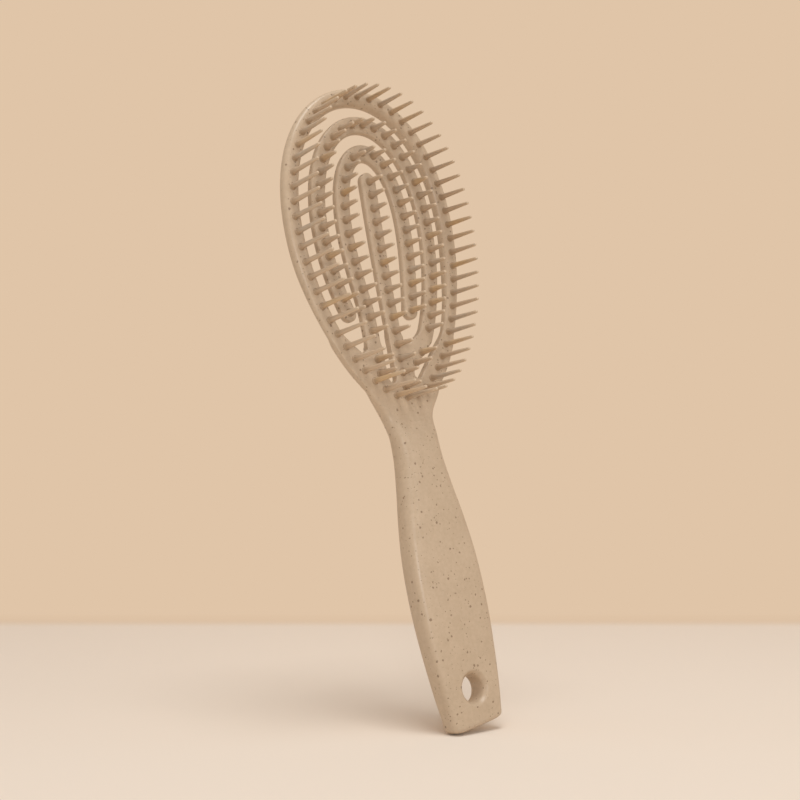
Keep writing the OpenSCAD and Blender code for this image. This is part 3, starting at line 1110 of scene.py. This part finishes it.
def finish_plastic(
    board: NodeBoard, place: bpy.types.NodeSocket, colour: bpy.types.NodeSocket, roughness: float,
    grain: float,
) -> bpy.types.Material:
    """Adds the matte plastic's shader, with its fine moulded grain, and the output.

    Args:
        board: The material's nodes.
        place: Where the grain is read.
        colour: The plastic's colour.
        roughness: The shader's roughness.
        grain: Strength of the grain's bump.

    Returns:
        The material.
    """
    shader = board.add("ShaderNodeBsdfPrincipled")
    shader.inputs["Roughness"].default_value = roughness
    shader.inputs["IOR"].default_value = PLASTIC_IOR
    board.join(colour, shader.inputs["Base Color"])
    bump = board.add("ShaderNodeBump")
    bump.inputs["Strength"].default_value = grain
    bump.inputs["Distance"].default_value = GRAIN_DEPTH
    board.join(noise(board, place, GRAIN_WAVES).outputs["Fac"], bump.inputs["Height"])
    board.join(bump.outputs["Normal"], shader.inputs["Normal"])
    board.finish("ShaderNodeOutputMaterial", shader)
    return board.owner


@dataclass(frozen=True)
class StrawPlastic:
    """Matte wheat-straw filled plastic: beige, faintly mottled, with brown flecks."""

    name: str = "straw_plastic"
    deep: Colour = (0.50, 0.378, 0.26)
    pale: Colour = (0.60, 0.463, 0.33)
    fleck: Colour = (0.2, 0.125, 0.075)
    roughness: float = 0.33
    grain: float = 0.35
    coarse_waves: float = 130.0
    coarse_detail: float = 3.0
    fine_waves: float = 800.0
    ragged_waves: float = 1600.0
    ragged: float = 0.0006
    mottle_from: float = 0.5
    layers: tuple[Flecks, ...] = (
        Flecks(560.0, 0.3, 0.3, 0.75),
        Flecks(820.0, 0.26, 0.35, 0.7),
        Flecks(1400.0, 0.24, 0.3, 0.35),
    )

    def build(self) -> bpy.types.Material:
        """Makes the material.

        Returns:
            The material.
        """
        board = NodeBoard(bpy.data.materials.new(self.name))
        place = board.add("ShaderNodeTexCoord").outputs["Object"]
        coarse = noise(board, place, self.coarse_waves, self.coarse_detail).outputs["Fac"]
        fine = noise(board, place, self.fine_waves).outputs["Fac"]
        mottle = board.maths("SUBTRACT", board.maths("ADD", coarse, fine), self.mottle_from, clamp=True)
        colour = board.mixed(mottle, self.deep, self.pale)
        bend = board.add("ShaderNodeVectorMath", operation="SCALE")
        bend.inputs["Scale"].default_value = self.ragged
        board.join(noise(board, place, self.ragged_waves).outputs["Color"], bend.inputs[0])
        moved = board.add("ShaderNodeVectorMath", operation="ADD")
        board.join(place, moved.inputs[0])
        board.join(bend.outputs[0], moved.inputs[1])
        spots = self.layers[0].mask(board, moved.outputs[0])
        for layer in self.layers[1:]:
            spots = board.maths("MAXIMUM", spots, layer.mask(board, moved.outputs[0]))
        colour = board.mixed(spots, colour, self.fleck)
        return finish_plastic(board, place, colour, self.roughness, self.grain)


@dataclass(frozen=True)
class PinPlastic:
    """The same plastic in the thin pins: warmer, each pin a little different, with painted shade at the foot
    and a painted highlight at the tip.
    """

    name: str = "pin_plastic"
    # foot is painted shade: a darker colour at each pin's foot that stands in for the shadow gathering where
    # the pin meets the plate
    foot: Colour = (0.405, 0.287, 0.185)
    shaft: Colour = (0.56, 0.42, 0.29)
    # tip is a painted highlight: a paler colour at each pin's tip that stands in for the light falling on it
    # from above
    tip: Colour = (0.61, 0.47, 0.33)
    ochre: Colour = (0.58, 0.40, 0.215)
    grey: Colour = (0.50, 0.40, 0.30)
    foot_shade_share: float = 0.25
    tip_highlight_share: float = 0.5
    warm_above: float = 0.7
    warm_gain: float = 3.0
    cool_below: float = 0.4
    roughness: float = 0.42
    grain: float = 0.3

    def build(self) -> bpy.types.Material:
        """Makes the material.

        Returns:
            The material.
        """
        board = NodeBoard(bpy.data.materials.new(self.name))
        place = board.add("ShaderNodeTexCoord").outputs["Object"]
        along = board.add("ShaderNodeAttribute", attribute_name="along").outputs["Fac"]
        tint = board.add("ShaderNodeAttribute", attribute_name="tint").outputs["Fac"]
        # Painted shade: the foot's darker colour fades out over the lower share of the pin.
        low = board.maths("MULTIPLY", along, 1 / self.foot_shade_share, clamp=True)
        # Painted highlight: the tip's paler colour fades in over the upper share of the pin.
        high = board.maths("SUBTRACT", along, 1 - self.tip_highlight_share, clamp=True)
        high = board.maths("MULTIPLY", high, 1 / self.tip_highlight_share, clamp=True)
        warm = board.maths("SUBTRACT", tint, self.warm_above, clamp=True)
        warm = board.maths("MULTIPLY", warm, self.warm_gain, clamp=True)
        cool = board.maths("SUBTRACT", self.cool_below, tint, clamp=True)
        cool = board.maths("MULTIPLY", cool, 1 / self.cool_below, clamp=True)
        shaft = board.mixed(cool, board.mixed(warm, self.shaft, self.ochre), self.grey)
        # Mixes in the painted shade at the foot.
        colour = board.mixed(low, self.foot, shaft)
        # Mixes in the painted highlight at the tip.
        colour = board.mixed(high, colour, self.tip)
        return finish_plastic(board, place, colour, self.roughness, self.grain)


# Pins


@dataclass(frozen=True)
class PinShape:
    """A tapered pin with a filleted foot and a domed tip, in millimetres."""

    length: float
    radius: float
    tip_radius: float
    foot_h: float = 0.7
    foot_flare: float = 0.35
    sunk: float = 0.9

    SIDES: ClassVar[int] = 20
    FOOT_STEPS: ClassVar[int] = 5
    SHAFT_STEPS: ClassVar[int] = 6
    DOME_STEPS: ClassVar[int] = 5

    def outline(self) -> list[tuple[float, float]]:
        """Draws the pin's profile.

        Returns:
            Points (radius, height) from the sunk foot to the top of the dome.
        """
        points = [(self.radius + self.foot_flare, -self.sunk)]
        for i in range(self.FOOT_STEPS + 1):
            a = math.pi / 2 * i / self.FOOT_STEPS
            out = self.foot_flare * (1 - math.sin(a))
            points.append((self.radius + out, self.foot_h * (1 - math.cos(a))))
        top = self.length - self.tip_radius
        for i in range(1, self.SHAFT_STEPS + 1):
            k = i / self.SHAFT_STEPS
            r = self.radius + (self.tip_radius - self.radius) * k
            points.append((r, self.foot_h + (top - self.foot_h) * k))
        for i in range(1, self.DOME_STEPS):
            a = math.pi / 2 * i / self.DOME_STEPS
            points.append((self.tip_radius * math.cos(a), top + self.tip_radius * math.sin(a)))
        return points


@dataclass(frozen=True)
class PinPlace:
    """Where a pin stands: its place on the plate as (x, z)."""

    x: float
    z: float


PinRow = tuple[PinShape, list[PinPlace]]


@dataclass
class PinBed:
    """All pins of the brush: their shapes and places, in millimetres."""

    plate: HeadPlate
    rim_shape: PinShape = PinShape(14.5, 0.95, 0.55)
    arm_shape: PinShape = PinShape(8.0, 1.15, 0.6)
    rim_count: int = 54
    finger_pitch: float = 4.95
    flex_gap: float = 0.3
    focus: float = 430.0
    tip_down: float = 2.5
    twist: float = 560.0
    inset: float = 1.5
    inset_share: float = 0.33
    crown_share: float = 0.16
    overhang_share: float = 0.116

    def _rim_places(self, low: float, high: float) -> list[PinPlace]:
        """Finds the rim's pins on a stretch of its row.

        Args:
            low: Length from the crown above which the stretch starts.
            high: Length from the crown at which it ends.

        Returns:
            Their places.
        """
        rim = self.plate.rim
        half = rim.half_turn_length
        pitch = 2 * half / self.rim_count
        lengths = (i * pitch for i in range(1 - self.rim_count // 2, self.rim_count // 2 + 1))
        return [self._rim_place(s) for s in lengths if low < s <= high]

    def _rim_place(self, s: float) -> PinPlace:
        """Finds a rim pin, which near the foot is drawn in from the middle of the band.

        Args:
            s: Length from the crown.

        Returns:
            Its place.
        """
        rim = self.plate.rim
        place, way = rim.at(s), rim.tangent(s)
        k = ease(1 - (place.y - self.plate.rim_low_z) / (self.inset_share * self.plate.rim_row_l))
        return PinPlace(*(place - Vector((-way.y, way.x)) * self.inset * k))

    def _arm_row(
        self, row: EggRow, pitch: float, tip: float, last: float
    ) -> Callable[[float, float], list[PinPlace]]:
        """Sets out an arm's pins.

        Args:
            row: The arm's row.
            pitch: Distance between its pins.
            tip: Length from the crown to the free tip's middle.
            last: Length from the crown past the last pin.

        Returns:
            A function of two lengths that gives the places of the pins between them.
        """
        lengths = [i * pitch - tip for i in range(math.ceil((tip + last) / pitch))]
        return lambda low, high: [PinPlace(*row.at(s)) for s in lengths if low < s < high]

    def groups(self) -> dict[str, list[PinRow]]:
        """Finds every node's pins.

        Returns:
            For each of the CAD nodes' names, the shapes and places of its pins. The pins on the foot have
            two shapes.
        """
        plate = self.plate
        half = plate.rim.half_turn_length
        crown = self.crown_share * half
        cut = plate.rim_cut - self.rim_shape.radius
        clear = self.arm_shape.radius + self.arm_shape.foot_flare + self.flex_gap
        overhang = self.overhang_share * plate.rim_row_l
        outer_last = plate.outer_root + overhang
        inner_last = plate.inner_root + overhang
        outer = self._arm_row(plate.outer, plate.outer_pin_pitch, plate.outer_tip, outer_last)
        inner = self._arm_row(plate.inner, plate.inner_pin_pitch, plate.inner_tip, inner_last)
        top = plate.finger_top_z - plate.finger_tip_w / 2
        count = math.floor((top - plate.foot_z) / self.finger_pitch) + 1
        finger = [PinPlace(0.0, top - i * self.finger_pitch) for i in range(count)]
        root_z = plate.finger_root_z
        far = 2 * half
        foot_ends = outer(plate.outer_root + clear, outer_last) + inner(plate.inner_root + clear, inner_last)
        foot_ends += [place for place in finger if place.z < root_z - clear]
        foot_rim = self._rim_places(cut, half) + self._rim_places(-half, -cut)
        return {
            "rim_pins_crown": [(self.rim_shape, self._rim_places(-crown, crown))],
            "rim_pins_right": [(self.rim_shape, self._rim_places(crown, cut))],
            "rim_pins_left": [(self.rim_shape, self._rim_places(-cut, -crown))],
            "base_pins": [(self.arm_shape, foot_ends), (self.rim_shape, foot_rim)],
            "outer_pins_root_leg": [(self.arm_shape, outer(plate.outer_gap, plate.outer_root - clear))],
            "outer_pins_free_leg": [(self.arm_shape, outer(-far, plate.outer_gap))],
            "inner_pins_root_leg": [(self.arm_shape, inner(plate.inner_gap, plate.inner_root - clear))],
            "inner_pins_free_leg": [(self.arm_shape, inner(-far, plate.inner_gap))],
            "finger_pins": [(self.arm_shape, [place for place in finger if place.z > root_z + clear])],
        }

    def _pin_matrix(self, place: PinPlace, shape: PinShape) -> Matrix:
        """Turns and moves a pin from its own axis to its place, leaning towards the middle.

        Args:
            place: Where it stands.
            shape: Its shape, whose foot sets how deep it is seated.

        Returns:
            The matrix that does so, in millimetres.
        """
        plate = self.plate
        bow = math.atan(max(place.z - plate.bow_z, 0.0) / plate.bow_r)
        down = math.radians(self.tip_down) + math.atan(place.x / self.twist)
        lean = math.atan(place.x / self.focus + (place.z - plate.rim.mid_z) / self.twist)
        seat = (shape.radius + shape.foot_flare) * math.hypot(math.sin(lean), math.sin(down))
        tilt = Matrix.Rotation(math.pi / 2 + bow + down, 4, "X")
        turn = Matrix.Rotation(-lean, 4, "Z")
        return Matrix.Translation((place.x, plate.face_at(place.z) - seat, place.z)) @ turn @ tilt

    def mesh(self, name: str, parts: Sequence[PinRow], tints: np.random.Generator) -> bpy.types.Mesh:
        """Builds the pins of a group as one mesh, in metres.

        Args:
            name: Name of the mesh.
            parts: Shapes and places of its pins.
            tints: The source of each pin's own tint.

        Returns:
            The mesh, with the attributes along, from foot to tip, and tint.
        """
        shell = Shell()
        along: list[float] = []
        tint: list[float] = []
        for shape, places in parts:
            outline = shape.outline()
            sides = shape.SIDES
            turns = [2 * math.pi * j / sides for j in range(sides)]
            for place in places:
                matrix = self._pin_matrix(place, shape)
                own = float(tints.random())
                rings = []
                for r, h in outline:
                    around = (Vector((r * math.cos(a), r * math.sin(a), h)) for a in turns)
                    rings.append([tuple(matrix @ point * MM) for point in around])
                    along.extend([max(h, 0.0) / shape.length] * sides)
                    tint.extend([own] * sides)
                shell.add_rings(rings)
        made = shell.mesh(name)
        for key, values in (("along", along), ("tint", tint)):
            made.attributes.new(key, "FLOAT", "POINT").data.foreach_set("value", values)
        made.shade_smooth()
        return made


# The fused moulding and its zones


@dataclass(frozen=True)
class Strip:
    """A strip of the head that moves as a body: how its faces are told from the rest, in millimetres."""

    zone: Zone
    points: list[tuple[float, float]]
    closed_end: tuple[Vector, Vector] | None


@dataclass
class Moulding:
    """The whole brush without its pins, fused into one skin and cut into zones."""

    plate: HeadPlate
    grip: Grip
    voxel: float = 0.3
    smooth_rounds: int = 5
    smooth_share: float = 0.5
    root_sink: float = 1.3
    crown_reach: float = 8.6
    sample_step: float = 0.5

    def fused(self) -> bpy.types.Mesh:
        """Fuses all solids into one smooth skin.

        Returns:
            The skin, in millimetres.
        """
        plate = self.plate
        shell = Shell()
        self.grip.add(shell)
        plate.add_web(shell)
        plate.add_rim(shell)
        plate.add_arm(shell, plate.outer, plate.outer_root, plate.outer_tip)
        plate.add_arm(shell, plate.inner, plate.inner_root, plate.inner_tip)
        plate.add_finger(shell)

        def dress(scratch: bpy.types.Object) -> None:
            """Adds the modifiers that fuse and smooth.

            Args:
                scratch: The object with all solids' mesh.
            """
            fuse = scratch.modifiers.new("fuse", "REMESH")
            fuse.mode = "VOXEL"
            fuse.voxel_size = self.voxel
            fuse.use_smooth_shade = True
            calm = scratch.modifiers.new("calm", "SMOOTH")
            calm.factor = self.smooth_share
            calm.iterations = self.smooth_rounds

        return evaluated(shell.mesh("solids"), dress)

    def _strips(self) -> list[Strip]:
        """Lays out the strips' middle lines.

        Returns:
            The strips, each with the cut that parts it from the web.
        """
        plate = self.plate
        strips = []
        outer = (plate.outer, plate.outer_root, plate.outer_tip, plate.outer_gap)
        inner = (plate.inner, plate.inner_root, plate.inner_tip, plate.inner_gap)
        arms = ((outer, Zone.OUTER_ROOT, Zone.OUTER_FREE), (inner, Zone.INNER_ROOT, Zone.INNER_FREE))
        for (row, root, tip, gap), root_zone, free_zone in arms:
            top = gap + self.crown_reach
            low = root + self.root_sink
            root_s = np.arange(top, low, self.sample_step)
            free_s = np.arange(-tip - plate.arm_w / 2, top, self.sample_step)
            end = (row.at(low), row.tangent(low))
            strips.append(Strip(root_zone, [tuple(row.at(s)) for s in root_s], end))
            strips.append(Strip(free_zone, [tuple(row.at(s)) for s in free_s], None))
        low_z = plate.finger_root_z - self.root_sink
        line = [(0.0, z) for z in np.arange(low_z, plate.finger_top_z, self.sample_step)]
        strips.append(Strip(Zone.FINGER, line, (Vector((0.0, low_z)), Vector((0.0, -1.0)))))
        rim_s = np.arange(-plate.rim.half_turn_length, plate.rim.half_turn_length, self.sample_step)
        strips.append(Strip(Zone.FRAME, [tuple(plate.rim.at(s)) for s in rim_s], None))
        return strips

    def _zones(self, centres: np.ndarray) -> list[Zone]:
        """Tells every face's zone by the strip whose middle line is nearest.

        Args:
            centres: The faces' centres, in millimetres.

        Returns:
            The zone of each face.
        """
        strips = self._strips()
        owners = [(strip, p) for strip in strips for p in strip.points]
        tree = KDTree(len(owners))
        for i, (_, (x, z)) in enumerate(owners):
            tree.insert((x, 0.0, z), i)
        tree.balance()
        zones = []
        for x, _, z in centres:
            strip = owners[tree.find((x, 0.0, z))[1]][0]
            zone = strip.zone
            if z < self.plate.foot_z:
                zone = Zone.FRAME
            elif strip.closed_end is not None:
                place, way = strip.closed_end
                if (Vector((x, z)) - place).dot(way) > 0:
                    zone = Zone.FRAME
            zones.append(zone)
        return zones

    def pieces(self) -> dict[Zone, bpy.types.Mesh]:
        """Cuts the fused skin into its zones.

        Returns:
            One mesh for each zone, in metres, whose normals run on smoothly across the cuts.
        """
        skin = self.fused()
        count = len(skin.vertices)
        places = np.empty(count * 3)
        skin.vertices.foreach_get("co", places)
        places = places.reshape(-1, 3)
        normals = np.empty(count * 3)
        skin.vertices.foreach_get("normal", normals)
        normals = normals.reshape(-1, 3)
        faces = [tuple(p.vertices) for p in skin.polygons]
        centres = np.array([places[list(f)].mean(axis=0) for f in faces])
        zones = self._zones(centres)
        made = {}
        for zone in Zone:
            own = [f for f, z in zip(faces, zones) if z is zone]
            used = sorted({i for f in own for i in f})
            index = {old: new for new, old in enumerate(used)}
            mesh = bpy.data.meshes.new(zone.value)
            mesh.from_pydata((places[used] * MM).tolist(), [], [tuple(index[i] for i in f) for f in own])
            mesh.shade_smooth()
            mesh.normals_split_custom_set_from_vertices(normals[used].tolist())
            mesh.update()
            made[zone] = mesh
            logger.info("zone %s: %d faces", zone.value, len(own))
        bpy.data.meshes.remove(skin)
        return made


# Stage


@dataclass(frozen=True)
class StudioCamera:
    """The camera at the photograph's viewing angle: place in millimetres, axes and lens."""

    place: tuple[float, float, float] = (-277.28, -323.49, 33.01)
    right: tuple[float, float, float] = (0.76945, -0.61019, -0.18871)
    down: tuple[float, float, float] = (-0.04816, 0.23919, -0.96978)
    forward: tuple[float, float, float] = (0.63688, 0.75529, 0.15466)
    lens: float = 56.25
    sensor: float = 36.0
    clip: tuple[float, float] = (0.01, 20.0)

    def add(self) -> None:
        """Adds the camera and makes it the scene's."""
        data = bpy.data.cameras.new("studio_camera")
        data.lens = self.lens
        data.sensor_width = self.sensor
        data.clip_start, data.clip_end = self.clip
        camera = bpy.data.objects.new("studio_camera", data)
        axes = Matrix((self.right, [-x for x in self.down], [-x for x in self.forward])).transposed()
        camera.matrix_world = Matrix.Translation(Vector(self.place) * MM) @ axes.to_4x4()
        bpy.context.scene.collection.objects.link(camera)
        bpy.context.scene.camera = camera


@dataclass(frozen=True)
class Backdrop:
    """A pale floor that sweeps up into a peach wall, in metres."""

    normal: tuple[float, float, float] = (0.0814, -0.1994, 0.9765)
    contact: tuple[float, float, float] = (-0.0080, 0.0019, -0.0130)
    coarse_rows: tuple[float, ...] = (-1.6, 0.0, 0.3)
    fine_from: float = 0.5
    turn_at: float = 0.72
    sweep_r: float = 0.35
    height: float = 2.2
    half_width: float = 2.5
    edge_from: float = 0.684
    edge_to: float = 0.735
    even_from: float = 0.6
    even_to: float = 1.5
    floor: Colour = (0.88, 0.785, 0.685)
    wall: Colour = (0.745, 0.558, 0.392)

    FLOOR_STEPS: ClassVar[int] = 34
    SWEEP_STEPS: ClassVar[int] = 24

    def _wall_share(self, out: float) -> float:
        """How far the floor's colour has turned into the wall's at a distance."""
        return ease((out - self.edge_from) / (self.edge_to - self.edge_from))

    def _profile(self) -> list[tuple[float, float, float]]:
        """Draws the backdrop from the side.

        Returns:
            Points (out, up, wall share) from in front of the object to the top of the wall.
        """
        flat = [*self.coarse_rows, *np.linspace(self.fine_from, self.turn_at, self.FLOOR_STEPS)]
        points = [(d, 0.0, self._wall_share(d)) for d in flat]
        for i in range(1, self.SWEEP_STEPS + 1):
            a = math.pi / 2 * i / self.SWEEP_STEPS
            out = self.turn_at + self.sweep_r * math.sin(a)
            points.append((out, self.sweep_r * (1 - math.cos(a)), self._wall_share(out)))
        points.append((self.turn_at + self.sweep_r, self.height, 1.0))
        return points

    def _material(self) -> bpy.types.Material:
        """Makes the finish: a matt cream floor, and a peach wall that the camera sees evenly lit.

        Returns:
            The material. Far from the object, the camera sees the floor in the wall's colour too.
        """
        board = NodeBoard(bpy.data.materials.new("backdrop"))
        share = board.add("ShaderNodeAttribute", attribute_name="wall_share").outputs["Fac"]
        matt = board.add("ShaderNodeBsdfDiffuse")
        board.join(board.mixed(share, self.floor, self.wall), matt.inputs["Color"])
        distance = board.add("ShaderNodeVectorMath", operation="LENGTH")
        board.join(board.add("ShaderNodeTexCoord").outputs["Object"], distance.inputs[0])
        fade = board.add("ShaderNodeMapRange", interpolation_type="SMOOTHSTEP")
        fade.inputs["From Min"].default_value = self.even_from
        fade.inputs["From Max"].default_value = self.even_to
        board.join(distance.outputs["Value"], fade.inputs["Value"])
        shown = board.maths("MULTIPLY", board.seen(), board.maths("MAXIMUM", share, fade.outputs[0]))
        even = board.glow("ShaderNodeEmission", self.wall)
        board.finish_mixed("ShaderNodeOutputMaterial", shown, matt, even)
        return board.owner

    def add(self, camera: StudioCamera) -> None:
        """Adds the backdrop, square to the camera's line of sight.

        Args:
            camera: The camera.
        """
        up = Vector(self.normal).normalized()
        sight = Vector(camera.forward)
        out = (sight - up * sight.dot(up)).normalized()
        across = out.cross(up)
        eye = Vector(camera.place) * MM
        foot = eye - up * (eye - Vector(self.contact)).dot(up)
        points = []
        shares = []
        profile = self._profile()
        for side in (-1, 1):
            for d, h, share in profile:
                points.append(foot + out * d + up * h + across * (side * self.half_width))
                shares.append(share)
        n = len(profile)
        faces = [(i, n + i, n + i + 1, i + 1) for i in range(n - 1)]
        mesh = bpy.data.meshes.new("backdrop")
        mesh.from_pydata(points, [], faces)
        mesh.attributes.new("wall_share", "FLOAT", "POINT").data.foreach_set("value", shares)
        mesh.shade_smooth()
        mesh.materials.append(self._material())
        backdrop = bpy.data.objects.new("backdrop", mesh)
        bpy.context.scene.collection.objects.link(backdrop)


@dataclass(frozen=True)
class Lamp:
    """A square soft light: where it stands, its side in metres and its power in watts."""

    name: str
    place: tuple[float, float, float]
    size: float
    power: float
    target: tuple[float, float, float] = (0.0, 0.0, 0.09)
    colour: Colour = (1.0, 0.99, 0.97)

    def add(self) -> None:
        """Adds the lamp."""
        data = bpy.data.lights.new(self.name, "AREA")
        data.shape = "SQUARE"
        data.size = self.size
        data.energy = self.power
        data.color = self.colour
        lamp = bpy.data.objects.new(self.name, data)
        lamp.location = self.place
        lamp.rotation_mode = "QUATERNION"
        lamp.rotation_quaternion = (Vector(self.target) - Vector(self.place)).to_track_quat("-Z", "Y")
        bpy.context.scene.collection.objects.link(lamp)


@dataclass(frozen=True)
class Studio:
    """The camera, backdrop, lamps and world light."""

    camera: StudioCamera = StudioCamera()
    backdrop: Backdrop = Backdrop()
    lamps: tuple[Lamp, ...] = (
        Lamp("key", (-0.08, -0.48, 1.17), 0.58, 6.4),
        Lamp("left_fill", (-0.66, -0.86, 0.16), 0.16, 2.1),
        Lamp("right_fill", (0.28, -1.02, 0.42), 0.8, 1.4),
    )
    world: Colour = (0.45, 0.445, 0.44)

    def _add_world(self) -> None:
        """Adds the even light from all round, which the camera and the sheen see in the wall's colour."""
        board = NodeBoard(bpy.data.worlds.new("studio"))
        light = board.glow("ShaderNodeBackground", self.world)
        wall = board.glow("ShaderNodeBackground", self.backdrop.wall)
        board.finish_mixed("ShaderNodeOutputWorld", board.seen(), light, wall)
        bpy.context.scene.world = board.owner

    def add(self) -> None:
        """Adds the whole studio."""
        self.camera.add()
        self.backdrop.add(self.camera)
        for lamp in self.lamps:
            lamp.add()
        self._add_world()
        bpy.context.scene.view_settings.view_transform = "Standard"


# The brush


@dataclass(frozen=True)
class Flex:
    """Where a strip bends between two bodies, in millimetres: the bend starts and ends at these places."""

    still: str
    moving: str
    start: tuple[float, float]
    end: tuple[float, float]


@dataclass
class Brush:
    """The dressed brush: the moulding's zones and all pins, those of the frame zone on the frame's body."""

    plate: HeadPlate = field(default_factory=HeadPlate)
    bend_length: float = 14.0
    crown_half: float = 7.5

    ZONE_NODES: ClassVar[dict[Zone, tuple[str, ...]]] = {
        Zone.FRAME: ("handle", "head_base", "outer_rim"),
        Zone.OUTER_ROOT: ("outer_arm_root_leg",),
        Zone.OUTER_FREE: ("outer_arm_free_leg",),
        Zone.INNER_ROOT: ("inner_arm_root_leg",),
        Zone.INNER_FREE: ("inner_arm_free_leg",),
        Zone.FINGER: ("centre_finger",),
    }
    PIN_ZONES: ClassVar[dict[str, Zone]] = {
        "rim_pins_crown": Zone.FRAME,
        "rim_pins_right": Zone.FRAME,
        "rim_pins_left": Zone.FRAME,
        "base_pins": Zone.FRAME,
        "outer_pins_root_leg": Zone.OUTER_ROOT,
        "outer_pins_free_leg": Zone.OUTER_FREE,
        "inner_pins_root_leg": Zone.INNER_ROOT,
        "inner_pins_free_leg": Zone.INNER_FREE,
        "finger_pins": Zone.FINGER,
    }

    def _root_flex(self, moving: str, place: Vector, up: Vector) -> Flex:
        """Bend of a strip at its root."""
        return Flex("body_frame", moving, tuple(place), tuple(place + up * self.bend_length))

    def _crown_flex(self, still: str, moving: str, row: EggRow, gap: float) -> Flex:
        """Finds the bend of an arm across its crown.

        Args:
            still: Body of the rooted leg.
            moving: Body of the free leg.
            row: The arm's row.
            gap: Length along it to the middle of the bend.

        Returns:
            The bend.
        """
        middle = row.at(gap)
        half = Vector((self.crown_half * row.side.value, 0.0))
        return Flex(still, moving, tuple(middle + half), tuple(middle - half))

    @cached_property
    def flexes(self) -> dict[Zone, Flex]:
        """Finds where the strips bend.

        Returns:
            The bend of each moving zone.
        """
        plate = self.plate
        outer, inner = plate.outer, plate.inner
        outer_up = -outer.tangent(plate.outer_root)
        inner_up = -inner.tangent(plate.inner_root)
        finger_root = Vector((0.0, plate.finger_root_z))
        return {
            Zone.OUTER_ROOT: self._root_flex("outer_arm_root", outer.at(plate.outer_root), outer_up),
            Zone.INNER_ROOT: self._root_flex("inner_arm_root", inner.at(plate.inner_root), inner_up),
            Zone.OUTER_FREE: self._crown_flex("outer_arm_root", "outer_arm_free", outer, plate.outer_gap),
            Zone.INNER_FREE: self._crown_flex("inner_arm_root", "inner_arm_free", inner, plate.inner_gap),
            Zone.FINGER: self._root_flex("finger", finger_root, Vector((0.0, 1.0))),
        }

    def _place(
        self, name: str, mesh: bpy.types.Mesh, zone: Zone, nodes: Sequence[str], slot: Slot,
        material: bpy.types.Material,
    ) -> None:
        """Puts a piece in the scene in place of its CAD nodes, on the frame's body if its zone does not bend.

        Args:
            name: Name of the piece.
            mesh: Its mesh, in metres.
            zone: The zone it belongs to, which tells whether it goes on the frame's body.
            nodes: The CAD nodes that it stands for.
            slot: Not used.
            material: Its finish.
        """
        mesh.materials.clear()
        mesh.materials.append(material)
        piece = bpy.data.objects.new(name, mesh)
        bpy.context.scene.collection.objects.link(piece)
        flex = self.flexes.get(zone)
        if flex is None:
            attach(piece, "body_frame")
        else:
            start, end = ((x * MM, 0.0, z * MM) for x, z in (flex.start, flex.end))
            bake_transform(piece)
            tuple(start)
            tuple(end)
        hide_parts(*nodes)
        logger.info("piece %s: %d faces, for %s", name, len(mesh.polygons), ", ".join(nodes))

    def build(self) -> None:
        """Builds every piece of the brush."""
        straw = StrawPlastic().build()
        pin = PinPlastic().build()
        moulding = Moulding(self.plate, Grip(self.plate))
        for zone, mesh in moulding.pieces().items():
            self._place(f"moulded_{zone.value}", mesh, zone, self.ZONE_NODES[zone], Slot.STRAW, straw)
        bed = PinBed(self.plate)
        tints = np.random.default_rng(RANDOM_SEED)
        for node, parts in bed.groups().items():
            mesh = bed.mesh(f"fine_{node}", parts, tints)
            self._place(f"fine_{node}", mesh, self.PIN_ZONES[node], (node,), Slot.PIN, pin)


def clear_startup_objects() -> None:
    """Removes Blender's own start-up objects, if there are any."""
    kept = set(frame["nodes"].values()) | set(frame["bodies"].values())
    for thing in list(bpy.data.objects):
        if thing not in kept:
            bpy.data.objects.remove(thing)


def main() -> None:
    """Builds the brush and the studio."""
    logging.basicConfig(level=logging.INFO, format="%(name)s: %(message)s")
    clear_startup_objects()
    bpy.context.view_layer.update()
    Brush().build()
    Studio().add()


if __name__ == "__main__":
    main()
